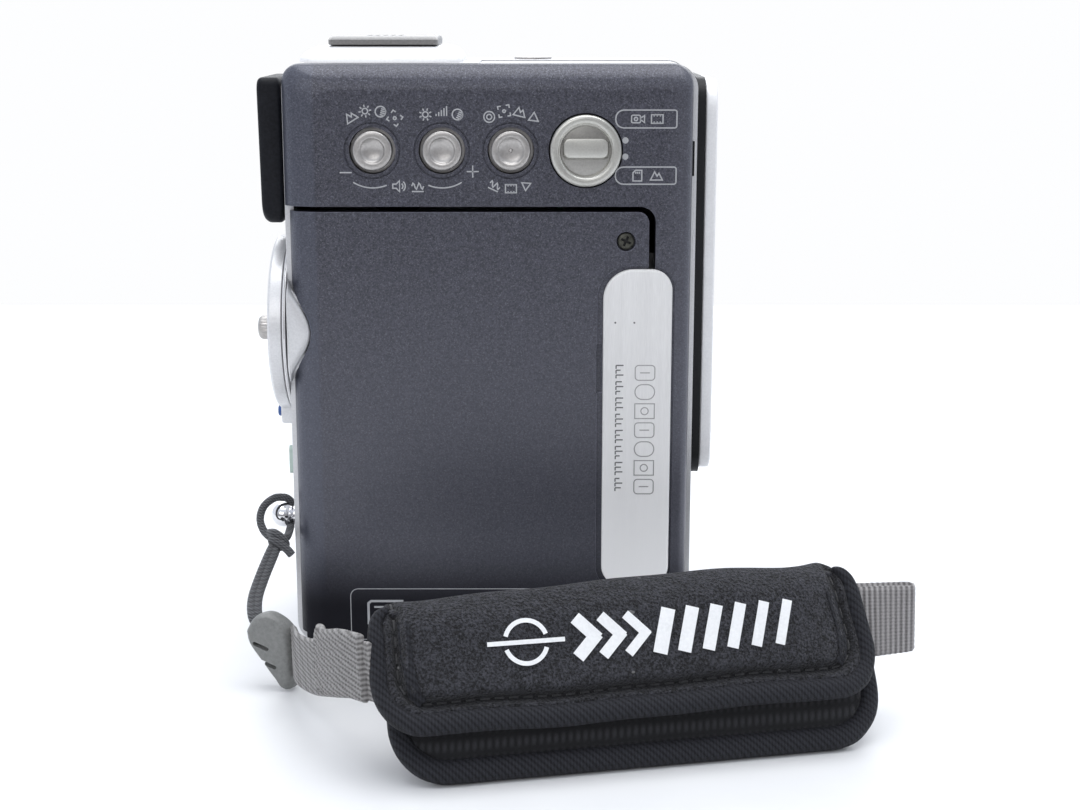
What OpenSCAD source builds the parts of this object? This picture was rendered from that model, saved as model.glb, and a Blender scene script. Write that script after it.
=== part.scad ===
// Pocket tape camcorder with a wrist strap, stood upright on its base.
// Origin: centre of the base. +X is the lens side, -Y is the cassette side,
// +Y is the display side, +Z is up. Millimetres.

/* [Body] */
// Height of the casing without the zoom hump
body_h = 122; // [121.5:0.25:122.5]
// Rear plane of the silver casing
rear_x = -42.2; // [-42.3:0.05:-42.1]
// Front plane of the silver casing
front_x = 41.1; // [41:0.05:41.15]
// Wall thickness of the casings
wall = 1.8; // [1.5:0.1:1.9]
// Corner radius of the casing outline
casing_r = 5; // [4:0.5:6]

/* [Cassette door] */
// Thickness of the painted skin
skin = 1.8; // [1.7:0.05:1.85]
// Depth of the thumb notch in the rear edge
notch_depth = 4; // [3:0.25:4.5]
// Radius of the hinge pin
hinge_pin_r = 0.8; // [0.7:0.05:0.9]

/* [Controls] */
// Radius of the three side button caps
button_r = 3.97; // [3.8:0.05:4.1]
// Radius of the recess around each side button
moat_r = 4.7; // [4.65:0.05:4.8]
// Radius of the mode knob
knob_r = 7.1; // [6.8:0.1:7.2]
// Radius of the rear power dial
dial_r = 18.4; // [17:0.2:18.6]
// Stand-off of the mode knob from the painted face
knob_proud = 1.6; // [1.2:0.1:2]

/* [Lens] */
// Outer radius of the lens barrel
lens_r = 13; // [12.5:0.1:13.1]
// Height of the lens axis
lens_z = 97; // [96:0.5:98]

/* [Display] */
// Thickness of the display panel
lcd_t = 8.6; // [8:0.1:8.6]

/* [Strap] */
// Radius of the braided cord
cord_r = 1.2; // [1:0.1:1.4]
// Length of the wrist pad
pad_len = 95.5; // [90:0.5:95.5]

/* [Hidden] */
$fn = 64;

// Side planes and the seam between the rear and front casings
face_y = -26; // painted face
skin_back = face_y + skin;
display_y = 17; // outer face of the left casing
seam_x = -2.7;
rear_seat = rear_x - 0.05; // where parts sit on the rear plane

// Places as [x, z], for axes along Y
knob_at = [18.6, 104.9];
button_x = [-23.85, -10, 3.7];
button_z = knob_at[1];
cover_screw_at = [26.8, 86.8];
casing_screw_at = [[-37, 116.5], [36, 116.5], [-37, 50], [36, 8]];
menu_at = [-2, 116];
speaker_at = [-22, 96];
drum_at = [-3, 25];
reel_x = [-19.6, 10.4];
reel_z = 66;

// Places as [y, z], for axes along X
lens_at = [-3, lens_z];
finder_at = [-11, 105];
dial_at = [-8, 67.4];
record_at = [dial_at[0], 66.2];
lock_at = [dial_at[0], 48];
pin_at = [-22.6, 3.4]; // hinge pin of the cassette cover

// Places as [x, y], for axes along Z
lcd_hinge_at = [36.5, 21.7];
snapshot_at = [8, 7];
tripod_at = [8, -13];
socket_hinge_at = [40.2, -18.7];

lcd_z = 85; // mid height of the display and its hinge
lens_hole_r = 13.2;

// Cassette cover outline and thumb notch
cover_x = [-41.2, 31.4];
cover_z = [0.5, 92.7];
notch_r = 14.5;
notch_at = [cover_x[0] + notch_depth - notch_r, 68];

paint = [0.27, 0.28, 0.34];
silver = [0.74, 0.74, 0.76];
satin = [0.62, 0.63, 0.65];
black = [0.06, 0.06, 0.065];
grey = [0.36, 0.36, 0.38];

// ---- building blocks ----
// Each spans the given start and end coordinates; "at" is the place of an axis.
module rounded_rect(x0, x1, z0, z1, r) {
  translate([x0 + r, z0]) square([x1 - x0 - 2 * r, z1 - z0]);
  translate([x0, z0 + r]) square([x1 - x0, z1 - z0 - 2 * r]);
  for (x = [x0 + r, x1 - r], z = [z0 + r, z1 - r]) translate([x, z]) circle(r);
}
module along_y(y0, y1)
  translate([0, y1, 0]) rotate([90, 0, 0]) linear_extrude(height = y1 - y0) children();
module along_x(x0, x1)
  translate([x0, 0, 0]) rotate([90, 0, 90]) linear_extrude(height = x1 - x0) children();
module cyl_y(at, r, y0, y1)
  translate([at[0], y1, at[1]]) rotate([90, 0, 0]) cylinder(r = r, h = y1 - y0);
module cyl_x(at, r, x0, x1)
  translate([x0, at[0], at[1]]) rotate([0, 90, 0]) cylinder(r = r, h = x1 - x0);
module cyl_z(at, r, z0, z1) translate([at[0], at[1], z0]) cylinder(r = r, h = z1 - z0);
module box(x0, x1, y0, y1, z0, z1) translate([x0, y0, z0]) cube([x1 - x0, y1 - y0, z1 - z0]);
// Places children so that their +Z runs from start towards end
module aim(start, end) {
  run = end - start;
  translate(start) rotate([0, acos(run[2] / norm(run)), atan2(run[1], run[0])]) children();
}
module rod(start, end, r) aim(start, end) cylinder(r = r, h = norm(end - start));
// Cross-shaped screw slot, from its half length and half width
module cross_slot(at, long, wide, y0, y1)
  for (half = [[wide, long], [long, wide]])
    box(at[0] - half[0], at[0] + half[0], y0, y1, at[1] - half[1], at[1] + half[1]);

// ---- casings ----
module casing_outline(top) rounded_rect(rear_x, front_x, 0, top, casing_r);
module casing_inside(top)
  rounded_rect(rear_x + wall, front_x - wall, wall, top - wall, casing_r - wall);
module casing_ring(top) difference() {
  along_y(-21.5, -2.1) casing_outline(top);
  along_y(-22.5, -1.1) casing_inside(top);
}
module left_casing() color(silver) difference() {
  along_y(-2, display_y) casing_outline(body_h);
  along_y(-3, 15.2) casing_inside(body_h);
  cyl_y([lcd_hinge_at[0], lcd_z], 2.05, 15, 18);
  cyl_y(menu_at, 2.05, 15, 18);
  // battery opening and its hinge line
  box(rear_x - 1, rear_x + wall + 0.5, 0.8, 14.2, 4.2, 43.8);
  translate([-41.5, 0.2, 5.2]) rotate([-90, 0, 0]) cylinder(r = 0.55, h = 14.6);
  cyl_x(lens_at, lens_hole_r, 38, 43);
  cyl_z(snapshot_at, 4.05, 119, 123);
  for (at = casing_screw_at) {
    cyl_y(at, 1.55, 15.95, 18);
    cyl_y(at, 0.85, 15, 16);
  }
  // speaker holes
  for (i = [-2:2], j = [-2:2]) cyl_y(speaker_at + 2.6 * [i, j], 0.6, 15, 18);
}
module rear_casing() color(silver) union() {
  difference() {
    casing_ring(body_h);
    box(seam_x - 0.05, 60, -30, 5, -5, 140);
    finder_block(rear_x - 1, rear_x + wall + 0.5, 7.2, 10.2);
  }
  // thumb rest behind the notch in the cover
  intersection() {
    cyl_y(notch_at, 13.8, -24.2, -21.3);
    box(rear_x + 0.3, -37, -25, -21, 54, 82);
  }
}
module front_casing() color(silver) difference() {
  casing_ring(body_h - 0.25);
  box(-60, seam_x + 0.05, -30, 5, -5, 140);
  cyl_x(lens_at, lens_hole_r, 38, 43);
  cyl_z(tripod_at, 5.05, -1, wall + 1);
  box(38, 42, -19.8, -5, 6, 30);
  cyl_z(socket_hinge_at, 0.55, 5.2, 30.8);
}

// ---- painted side ----
ledge_x = 32.6; // front and top edges of the opening for the cover
ledge_z = 93.7;
module side_housing() color(paint) difference() {
  union() {
    difference() {
      along_y(face_y, -21.6) rounded_rect(rear_x + 0.1, 40.1, 0.3, body_h - 0.1, 4);
      along_y(skin_back, -21) rounded_rect(-39.4, 38.8, 2.1, body_h - 1.9, 2.5);
      box(-50, ledge_x, -28, -21, -1, ledge_z);
    }
    // ledges along the opening
    box(-39.5, ledge_x + 1.6, skin_back - 0.1, -21.6, ledge_z, ledge_z + 1.5);
    box(ledge_x, ledge_x + 1.6, skin_back - 0.1, -21.6, 1, ledge_z + 0.3);
    for (x = button_x) cyl_y([x, button_z], moat_r + 1, -24.4, -22);
    cyl_y(knob_at, 8.6, -24.4, -22.9);
  }
  for (x = button_x) cyl_y([x, button_z], moat_r, -27, -21);
  cyl_y(knob_at, 7.4, -27, -23.8);
  cyl_y(knob_at, 3, -27, -21);
}
module cassette_cover() color(paint) {
  rim = 1.6;
  knuckle_x = [-20, 8];
  knuckle_len = 10;
  difference() {
    union() {
      difference() {
        along_y(face_y, -21.6)
          rounded_rect(cover_x[0], cover_x[1], cover_z[0], cover_z[1], 2.6);
        along_y(skin_back, -21) rounded_rect(
          cover_x[0] + rim, cover_x[1] - rim, cover_z[0] + rim, cover_z[1] - rim, 1.5);
        box(-50, 50, skin_back, -21, -1, 6);
      }
      for (x = knuckle_x) {
        cyl_x(pin_at, 1.5, x, x + knuckle_len);
        box(x, x + knuckle_len, -24.3, pin_at[0], pin_at[1] - 1, pin_at[1] + 1);
      }
    }
    for (x = knuckle_x) cyl_x(pin_at, hinge_pin_r + 0.05, x - 1, x + knuckle_len + 1);
    cyl_y(notch_at, notch_r, -27, -21);
    cyl_y(cover_screw_at, 1.95, -27, -24.8);
    cyl_y(cover_screw_at, 0.85, -27, -24);
  }
}
module grip_plate() color(satin) difference() {
  along_y(-26.8, -26.02) rounded_rect(22.3, 36.25, 14.5, 81.2, 4.4);
  box(21, 22.9, -27, -26.4, 55.7, 65.8);
}
module cover_screw() color(black) difference() {
  union() {
    cyl_y(cover_screw_at, 1.7, -25.6, -24.82);
    cyl_y(cover_screw_at, 0.8, -24.9, -23.3);
  }
  cross_slot(cover_screw_at, 1.2, 0.3, -26, -25.2);
}
module hinge_pin() color("silver") cyl_x(pin_at, hinge_pin_r, -27, 23);

// ---- structure and tape deck ----
module base_plate() color(silver) {
  knuckle_x = [-27, 19.5];
  knuckle_len = 3;
  difference() {
    union() {
      box(-36, 35, -20.5, -9.5, wall + 0.05, wall + 1.3);
      for (x = knuckle_x) {
        cyl_x(pin_at, 1.4, x, x + knuckle_len);
        box(x, x + knuckle_len, pin_at[0], -20, wall + 0.1, pin_at[1] + 0.6);
      }
    }
    for (x = knuckle_x) cyl_x(pin_at, hinge_pin_r + 0.02, x - 1, x + knuckle_len + 1);
    cyl_z(tripod_at, 5.1, 0, 9);
  }
}
module chassis() color([0.6, 0.6, 0.62]) difference() {
  along_y(-7.5, -6.5) rounded_rect(-38, 37, 4, 82, 3);
  for (x = reel_x) cyl_y([x, reel_z], 1.06, -9, -5);
  for (at = [drum_at, [-30, 14], [30, 14]]) cyl_y(at, 3, -9, -5);
}
drum_r = 10.85;
module guide_deck() color([0.5, 0.5, 0.52]) difference() {
  union() {
    along_y(-9.2, -8) rounded_rect(-27, 23, 8, 42, 3);
    cyl_y(drum_at, drum_r, -13.8, -9.1);
    // guide posts around the drum
    for (at = [[-17, 38], [11, 38], [-20, 24], [14, 24]]) cyl_y(at, 1.1, -19, -9);
  }
  cyl_y(drum_at, 1.55, -15, -7);
}
module head_drum() color("silver") union() {
  cyl_y(drum_at, drum_r, -20, -14);
  cyl_y(drum_at, 1.5, -14.1, -8.4);
}
// Hub, flange and spindle, with one pair of drive vanes
module reel(x) color([0.85, 0.85, 0.85]) {
  at = [x, reel_z];
  cyl_y(at, 2.4, -14.3, -9.5);
  cyl_y(at, 7, -9.9, -8.6);
  cyl_y(at, 1, -9, -6.2);
  box(x - 3, x + 3, -12.5, -9.8, reel_z - 0.5, reel_z + 0.5);
}
module supply_reel() reel(reel_x[0]);
module takeup_reel() reel(reel_x[1]);
module cassette_tray() color([0.3, 0.3, 0.32]) {
  tray_x = [-38.4, 29.2];
  tray_z = [43, 90.6];
  side_t = 0.6;
  difference() {
    union() {
      box(tray_x[0], tray_x[1], -24.15, -23.2, tray_z[0], tray_z[1]);
      for (x = [tray_x[0], tray_x[1] - side_t])
        box(x, x + side_t, -23.3, -11, tray_z[0], tray_z[1]);
      box(tray_x[0], tray_x[1], -23.3, -20, tray_z[0], tray_z[0] + 0.8);
    }
    cyl_y(cover_screw_at, 0.85, -25, -22);
    along_y(-25, -22) rounded_rect(-20, 12, 56, 78, 3);
    cyl_y(notch_at, 14.3, -25, -10);
  }
}
module tape_cassette() color([0.12, 0.12, 0.13]) difference() {
  box(-37.6, 28.4, -22.9, -10.7, 44.2, 90.9);
  for (x = reel_x) cyl_y([x, reel_z], 4, -16, -10);
}
module main_board() color([0.1, 0.35, 0.2]) {
  box(-38, 14, 8, 9.2, 48, 84);
  box(-30, -14, 9.1, 10.8, 56, 72);
  box(-8, 6, 9.1, 10.6, 54, 68);
}
module casing_screws() color(black) for (at = casing_screw_at) difference() {
  union() {
    cyl_y(at, 1.5, 16, 16.9);
    cyl_y(at, 0.8, 12, 16.1);
  }
  cross_slot(at, 0.9, 0.25, 16.5, 17);
}
module tripod_socket() color([0.72, 0.65, 0.42]) difference() {
  cyl_z(tripod_at, 5, 0.05, 7.2);
  cyl_z(tripod_at, 3.175, -1, 6.4);
}

// ---- front ----
// Outlines here are in Y and Z
module front_panel() color(black) difference() {
  along_x(front_x + 0.06, 42.9) rounded_rect(-20, 15, 36.4, 119, 5);
  cyl_x(lens_at, lens_hole_r, 40, 44);
}
module front_trim() color(silver) difference() {
  along_x(42.95, 45.4) rounded_rect(-19, 14, 36.9, 118.5, 6);
  cyl_x(lens_at, 14.2, 42, 46);
  // flash and microphone openings
  along_x(42, 46) rounded_rect(-10, 4, 64, 76, 2);
  along_x(42, 46) rounded_rect(-12, 6, 42.5, 54, 2);
}
module lens_barrel() color(black) difference() {
  union() {
    cyl_x(lens_at, lens_r, 30, 44.9);
    cyl_x(lens_at, 8, 18, 30.1);
  }
  cyl_x(lens_at, 11, 31.5, 50);
  cyl_x(lens_at, 6.8, 19.2, 32);
  cyl_x(lens_at, 4, 17, 20);
}
module lens_front_glass() color([0.35, 0.4, 0.55, 0.5]) {
  dome_r = 26;
  intersection() {
    cyl_x(lens_at, 10.95, 38.5, 43);
    translate([42.4 - dome_r, lens_at[0], lens_at[1]]) sphere(r = dome_r);
  }
}
module zoom_lens_group() color([0.15, 0.15, 0.16]) difference() {
  cyl_x(lens_at, 6.6, 22, 27);
  cyl_x(lens_at, 4.5, 21, 23.2);
  cyl_x(lens_at, 4.5, 25.8, 28);
}
module image_sensor() color([0.1, 0.3, 0.2]) {
  box(13, 14.2, -10, 6, 88, 106);
  box(14.1, 16, -6, 0, 94, 100);
}
module flash_window() color([0.9, 0.9, 0.85, 0.6])
  along_x(43, 45.1) rounded_rect(-9.8, 3.8, 64.2, 75.8, 1.8);
module microphone_grille() color(grey) difference() {
  along_x(43, 45) rounded_rect(-11.8, 5.8, 42.7, 53.8, 1.8);
  for (i = [0:4]) box(43.9, 46, -10, 4, 44.5 + i * 1.8, 45.2 + i * 1.8);
}

// ---- rear ----
module dial_base() color(silver) difference() {
  cyl_x(dial_at, dial_r + 0.2, -43, rear_seat);
  cyl_x(dial_at, 3.05, -44, rear_x + 1);
}
// Half section of the dial: [radius, height towards -X]
dial_profile = [
  [0, 0], [dial_r, 0], [dial_r, 2.4], [dial_r - 0.9, 3], [8, 3.3], [7.6, 3.8], [0, 3.8]];
module power_dial() color(silver) difference() {
  union() {
    translate([-43.1, dial_at[0], dial_at[1]]) rotate([0, -90, 0])
      rotate_extrude() polygon(dial_profile);
    cyl_x(dial_at, 3, -43.2, rear_x - 0.08);
    box(-46, -43.1, dial_at[0] - 2.5, dial_at[0] + 2.5, 45.5, 53);
  }
  cyl_x(record_at, 2.65, -50, -43.25);
  cyl_x(lock_at, 1.25, -48, -43.25);
}
module record_button() color([0.7, 0.68, 0.65]) cyl_x(record_at, 2.6, -48.9, -44.4);
module lock_button() color([0.2, 0.35, 0.6]) cyl_x(lock_at, 1.2, -46.9, -44.2);
// Half section of the post: foot, neck and ball, as [radius, height towards -X]
post_profile = concat(
  [[0, 0], [3, 0], [3, 0.4], [1.2, 0.5]],
  [for (a = [-60:10:80]) [2.4 * cos(a), 2.5 + 2.4 * sin(a)]],
  [[0, 4.9]]);
module strap_post() color([0.8, 0.8, 0.82])
  translate([rear_seat, -18, 27.5]) rotate([0, -90, 0]) rotate_extrude() polygon(post_profile);
module charge_lamp() color([0.5, 0.7, 0.5])
  along_x(-43.1, rear_seat) rounded_rect(-20.3, -18.2, 37, 43, 1);

// ---- sockets in the front casing, and speaker ----
module socket_block() color(black) difference() {
  box(34, 39.1, -19, -8, 7, 29);
  cyl_x([-12.2, 12], 2.6, 36, 40);
  cyl_x([-12.2, 19.5], 2.2, 36, 40);
  box(36, 40, -15, -9.5, 23.5, 27);
}
module socket_cover() color(grey) {
  box(39.6, 41, -19.1, -5.2, 6.3, 29.7);
  cyl_z(socket_hinge_at, 0.5, 5.4, 30.6);
}
module speaker() color(black) cyl_y(speaker_at, 8, 11, 15.1);

// ---- viewfinder ----
// Block centred on the viewfinder axis
module finder_block(x0, x1, half_y, half_z)
  box(x0, x1, finder_at[0] - half_y, finder_at[0] + half_y,
    finder_at[1] - half_z, finder_at[1] + half_z);
module viewfinder_tube() color(black) difference() {
  finder_block(-42.4, -19, 7, 10);
  finder_block(-38.4, -18, 5.8, 8.8);
  cyl_x(finder_at, 5.55, -45, -38);
}
module eyecup() color(black) difference() {
  along_x(-47.2, -42.45) rounded_rect(-22, 2, 89.9, 119.1, 4.5);
  cyl_x(finder_at, 6, -50, -40);
}
module eyepiece_lens() color([0.6, 0.7, 0.8, 0.5]) cyl_x(finder_at, 5.5, -42, -39);
module viewfinder_display() color([0.2, 0.2, 0.25]) finder_block(-21.5, -20, 5.7, 7);
module diopter_lever() color(grey) {
  box(-46.3, -44.3, 2.05, 2.8, 102, 106);
  box(-45.8, -44.8, 2.7, 3.4, 103, 105);
}

// ---- top ----
// Side view of the zoom hump: [x, height above the casing]
pedestal_profile = [
  [-39, 0.02], [-37.8, 2], [-35, 3.2], [-10, 3.2], [-7.2, 2], [-6, 0.02]];
module zoom_pedestal() color(silver) difference() {
  along_y(-16, 4) polygon([for (point = pedestal_profile) point + [0, body_h]]);
  box(-28, -17, -8.6, -3.4, body_h + 1.5, body_h + 5);
}
module zoom_lever() color(satin) {
  box(-33.4, -11.1, -15, 3, body_h + 3.3, body_h + 5.1);
  box(-24, -21, -8.4, -3.6, body_h + 1.7, body_h + 3.4);
}
module snapshot_button() color(satin) cyl_z(snapshot_at, 4, body_h - 2.5, body_h + 0.4);

// ---- side buttons and knob ----
// Flanged cap; dish is the depth of the hollow in its face
module side_button(x, dish) color(satin) {
  cap_y = face_y - 0.35;
  dish_r = 11;
  difference() {
    union() {
      cyl_y([x, button_z], button_r, cap_y, -24);
      cyl_y([x, button_z], 4.62, -24.1, -22.6);
    }
    if (dish > 0) translate([x, cap_y - (dish_r - dish), button_z]) sphere(r = dish_r);
  }
}
module minus_button() side_button(button_x[0], 0);
module plus_button() side_button(button_x[1], 0.5);
module focus_button() {
  side_button(button_x[2], 0.5);
  color(satin) cyl_y([button_x[2], button_z], 0.8, -26.3, -25);
}
module mode_knob() color(silver) {
  top_y = face_y - knob_proud;
  cyl_y(knob_at, knob_r, top_y + 0.9, -23.9);
  difference() {
    cyl_y(knob_at, knob_r - 0.8, top_y, -24);
    cyl_y(knob_at, 5.2, -30, -26.3);
  }
  // finger bar across the hollow
  box(knob_at[0] - 4.3, knob_at[0] + 4.3, top_y - 0.2, -26.2,
    knob_at[1] - 0.6, knob_at[1] + 2.1);
  cyl_y(knob_at, 2.95, -24, -22.5);
}

// ---- display ----
lcd_y = display_y + 0.4;
window_x = [-27, 24];
window_half = 21; // half height of the window and of the shell's hinge barrel
module lcd_hinge() color(silver) {
  x = lcd_hinge_at[0];
  cyl_z(lcd_hinge_at, 4, lcd_z - 9.2, lcd_z + 9.2);
  cyl_z(lcd_hinge_at, 1.5, lcd_z - 12.5, lcd_z + 12.5);
  box(x - 2.5, x + 2.5, lcd_y, lcd_hinge_at[1], lcd_z - 5, lcd_z + 5);
  cyl_y([x, lcd_z], 4.5, 17.2, 17.7);
  cyl_y([x, lcd_z], 2, 13.5, 17.3);
}
module lcd_shell() color(silver) {
  gap_half = 9.4; // room for the middle knuckle
  difference() {
    union() {
      difference() {
        along_y(lcd_y, lcd_y + lcd_t) rounded_rect(-31, 34.5, lcd_z - 26, lcd_z + 26, 5);
        box(31.7, 45, 16, 30, lcd_z - gap_half, lcd_z + gap_half);
      }
      cyl_z(lcd_hinge_at, 4.3, lcd_z - window_half, lcd_z - gap_half);
      cyl_z(lcd_hinge_at, 4.3, lcd_z + gap_half, lcd_z + window_half);
    }
    cyl_z(lcd_hinge_at, 1.55, lcd_z - 13, lcd_z + 13);
    box(window_x[0], window_x[1], 16, 19.5, lcd_z - window_half, lcd_z + window_half);
  }
}
module lcd_screen() color([0.05, 0.06, 0.08]) {
  half = window_half - 0.1;
  box(window_x[0] + 0.1, window_x[1] - 0.1, 17.6, 19.45, lcd_z - half, lcd_z + half);
}
module menu_button() color(satin) cyl_y(menu_at, 2, 14, 17.15);

// ---- power ----
module battery_pack() color(black) box(-39.8, -8, 1.4, 13.6, 5, 43.2);
module battery_door() color(silver) {
  box(-42.15, -40.8, 1, 14, 4.6, 43.6);
  cyl_y([-41.5, 5.2], 0.5, 0.35, 14.65);
}

// ---- wrist strap ----
pad_turn = 12; // about Z
module strap_cord() color([0.16, 0.16, 0.17]) {
  post_end = [-44.4, -22.6, 26.4];
  knot = [-44, -27, 24.4];
  buckle_end = [-44.4, -42, 16.6];
  rod(post_end, knot, cord_r);
  rod(knot + [0, 0.6, 0.4], buckle_end, cord_r);
  rod(knot + [0, 1.2, 0.5], knot - [0, 1.6, 0.9], cord_r * 1.6);
}
module strap_buckle() color(grey) aim([-44.5, -43.9, 15], [-41.6, -48, 1.4]) difference() {
  union() {
    translate([-1.1, -3.2, 0]) cube([2.2, 6.4, 3]);
    translate([-1.1, -4.8, 2.5]) cube([2.2, 9.6, 11.5]);
  }
  for (z = [5, 9]) translate([-3, -3.4, z]) cube([6, 6.8, 1]);
}
// A long piece near the buckle and a short one at the +X end of the pad
module strap_webbing() color(grey) {
  aim([-40.5, -50.8, 7.6], [-23.8, -83.2, 16.5])
    translate([-5.5, -0.8, 0]) cube([11, 1.6, 37.2]);
  translate([72.75, -68.75, 16]) rotate([0, 0, pad_turn]) cube([6.6, 3, 12.6]);
}
module pad_frame()
  translate([-20, -94.6, 0]) rotate([0, 0, pad_turn]) rotate([-24, 0, 0]) children();
module strap_pad_back() color(black)
  pad_frame() translate([5, 0.2, 2.2]) cube([pad_len - 6, 4, 27]);
module strap_pad_front() color(black)
  pad_frame() translate([0, -5, 9.5]) cube([pad_len, 5, 21.5]);

left_casing();
rear_casing();
front_casing();
side_housing();
cassette_cover();
grip_plate();
cover_screw();
hinge_pin();
base_plate();
chassis();
guide_deck();
head_drum();
supply_reel();
takeup_reel();
cassette_tray();
tape_cassette();
main_board();
casing_screws();
tripod_socket();
front_panel();
front_trim();
lens_barrel();
lens_front_glass();
zoom_lens_group();
image_sensor();
flash_window();
microphone_grille();
dial_base();
power_dial();
record_button();
lock_button();
strap_post();
charge_lamp();
socket_block();
socket_cover();
speaker();
viewfinder_tube();
eyecup();
eyepiece_lens();
viewfinder_display();
diopter_lever();
zoom_pedestal();
zoom_lever();
snapshot_button();
minus_button();
plus_button();
focus_button();
mode_knob();
lcd_hinge();
lcd_shell();
lcd_screen();
menu_button();
battery_pack();
battery_door();
strap_cord();
strap_buckle();
strap_webbing();
strap_pad_back();
strap_pad_front();
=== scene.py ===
"""An upright pocket camcorder with a padded wrist strap.

The body stands on z = 0, about 82 mm long and 122 mm tall. The lens faces +X, the rear with
its eyecup faces -X, the painted side faces -Y and the display side faces +Y. The strap
starts at a post on the rear and its pad stands away from the painted side, towards -Y.
Geometry is in millimetres; materials, transforms and the solver work in metres.
"""
import math

import bmesh
import bpy
from mathutils import Matrix, Vector, noise
from mathutils.bvhtree import BVHTree


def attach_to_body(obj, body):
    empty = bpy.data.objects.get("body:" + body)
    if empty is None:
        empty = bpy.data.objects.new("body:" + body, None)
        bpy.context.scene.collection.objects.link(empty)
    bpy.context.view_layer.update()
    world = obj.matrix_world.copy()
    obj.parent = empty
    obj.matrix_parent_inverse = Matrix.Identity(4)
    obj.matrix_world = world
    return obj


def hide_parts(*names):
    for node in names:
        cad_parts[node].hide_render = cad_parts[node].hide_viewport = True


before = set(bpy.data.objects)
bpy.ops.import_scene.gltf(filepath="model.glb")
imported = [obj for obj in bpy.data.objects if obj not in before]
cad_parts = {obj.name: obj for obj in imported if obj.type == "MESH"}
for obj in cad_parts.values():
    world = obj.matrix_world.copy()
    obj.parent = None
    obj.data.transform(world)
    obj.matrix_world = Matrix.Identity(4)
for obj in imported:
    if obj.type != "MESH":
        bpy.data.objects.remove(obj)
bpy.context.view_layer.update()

MM = 0.001
OUTWARD = (0, -1, 0)    # away from the painted side
REARWARD = (-1, 0, 0)
FORWARD = (1, 0, 0)


# ---------------------------------------------------------------- shader helpers
MATS = {}


class Nodes:
    """Adds nodes to a tree. An input takes a number, a tuple or another node's output."""

    def __init__(self, tree):
        self.tree = tree

    def feed(self, node, inputs):
        for key, value in inputs.items():
            socket = node.inputs[key]
            if isinstance(value, bpy.types.NodeSocket):
                self.tree.links.new(value, socket)
            elif isinstance(value, tuple) and socket.type == "RGBA":
                socket.default_value = (*value, 1)
            else:
                socket.default_value = value

    def add(self, kind, inputs, **settings):
        node = self.tree.nodes.new("ShaderNode" + kind)
        for key, value in settings.items():
            setattr(node, key, value)
        self.feed(node, inputs)
        return node

    def noise(self, vector, scale, detail=2.0, rough=0.5):
        inputs = {"Vector": vector, "Scale": scale, "Detail": detail, "Roughness": rough}
        return self.add("TexNoise", inputs).outputs["Fac"]

    def ramp(self, factor, low, high, dark, light):
        node = self.add("ValToRGB", {"Fac": factor})
        for element, place, colour in zip(
                node.color_ramp.elements, (low, high), (dark, light)):
            element.position = place
            element.color = (*colour, 1)
        return node.outputs["Color"]

    def calc(self, operation, first, second):
        return self.add("Math", {0: first, 1: second}, operation=operation).outputs[0]

    def blend(self, factor, first, second):
        inputs = {0: factor, 6: first, 7: second}
        return self.add("Mix", inputs, data_type="RGBA", blend_type="MIX").outputs[2]

    def fade(self, value, start, end, most=1.0):
        """Rises smoothly from 0 at start to most at end."""
        inputs = {"From Min": start, "From Max": end, "To Max": most, "Value": value}
        return self.add("MapRange", inputs, interpolation_type="SMOOTHSTEP").outputs[0]

    def split(self, vector):
        return self.add("SeparateXYZ", {0: vector}).outputs


class Material(Nodes):
    def __init__(self, name):
        material = bpy.data.materials.new(name)
        material.use_nodes = True
        super().__init__(material.node_tree)
        self.shader = next(n for n in self.tree.nodes if n.type == "BSDF_PRINCIPLED")
        self.coords = self.tree.nodes.new("ShaderNodeTexCoord").outputs["Object"]
        MATS[name] = material

    def mapped(self, scale=(1, 1, 1)):
        inputs = {"Scale": scale, "Vector": self.coords}
        return self.add("Mapping", inputs).outputs["Vector"]

    def voronoi(self, vector, scale):
        return self.add("TexVoronoi", {"Scale": scale, "Vector": vector}).outputs

    def finish(self, height, bump, **inputs):
        """Sets the shader's inputs (underscores stand for spaces) and its bump."""
        self.feed(self.shader, {key.replace("_", " "): v for key, v in inputs.items()})
        node = self.add("Bump", {"Strength": 1.0, "Distance": bump, "Height": height})
        self.feed(self.shader, {"Normal": node.outputs["Normal"]})


# ---------------------------------------------------------------- materials
def surface(name, dark, light, rough, metal, scale, bump, stretch=(1, 1, 1),
            rough_var=0.08, coat=0.0, sheen=0.0, spec=0.5):
    """Two-tone noise colour with varying roughness and a fine bump."""
    mat = Material(name)
    vector = mat.mapped(stretch)
    fine = mat.noise(vector, scale, detail=3.0, rough=0.6)
    broad = mat.noise(vector, scale / 14.0)
    tone = mat.calc("ADD", mat.calc("MULTIPLY", fine, 0.7), mat.calc("MULTIPLY", broad, 0.3))
    colour = mat.ramp(tone, low=0.35, high=0.68, dark=dark, light=light)
    swing = mat.calc("MULTIPLY", broad, 2 * rough_var)
    mat.finish(
        fine, bump, Base_Color=colour, Roughness=mat.calc("ADD", swing, rough - rough_var),
        Metallic=metal, Coat_Weight=coat, Coat_Roughness=0.12, Sheen_Weight=sheen,
        Sheen_Roughness=0.5, Specular_IOR_Level=spec)


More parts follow.
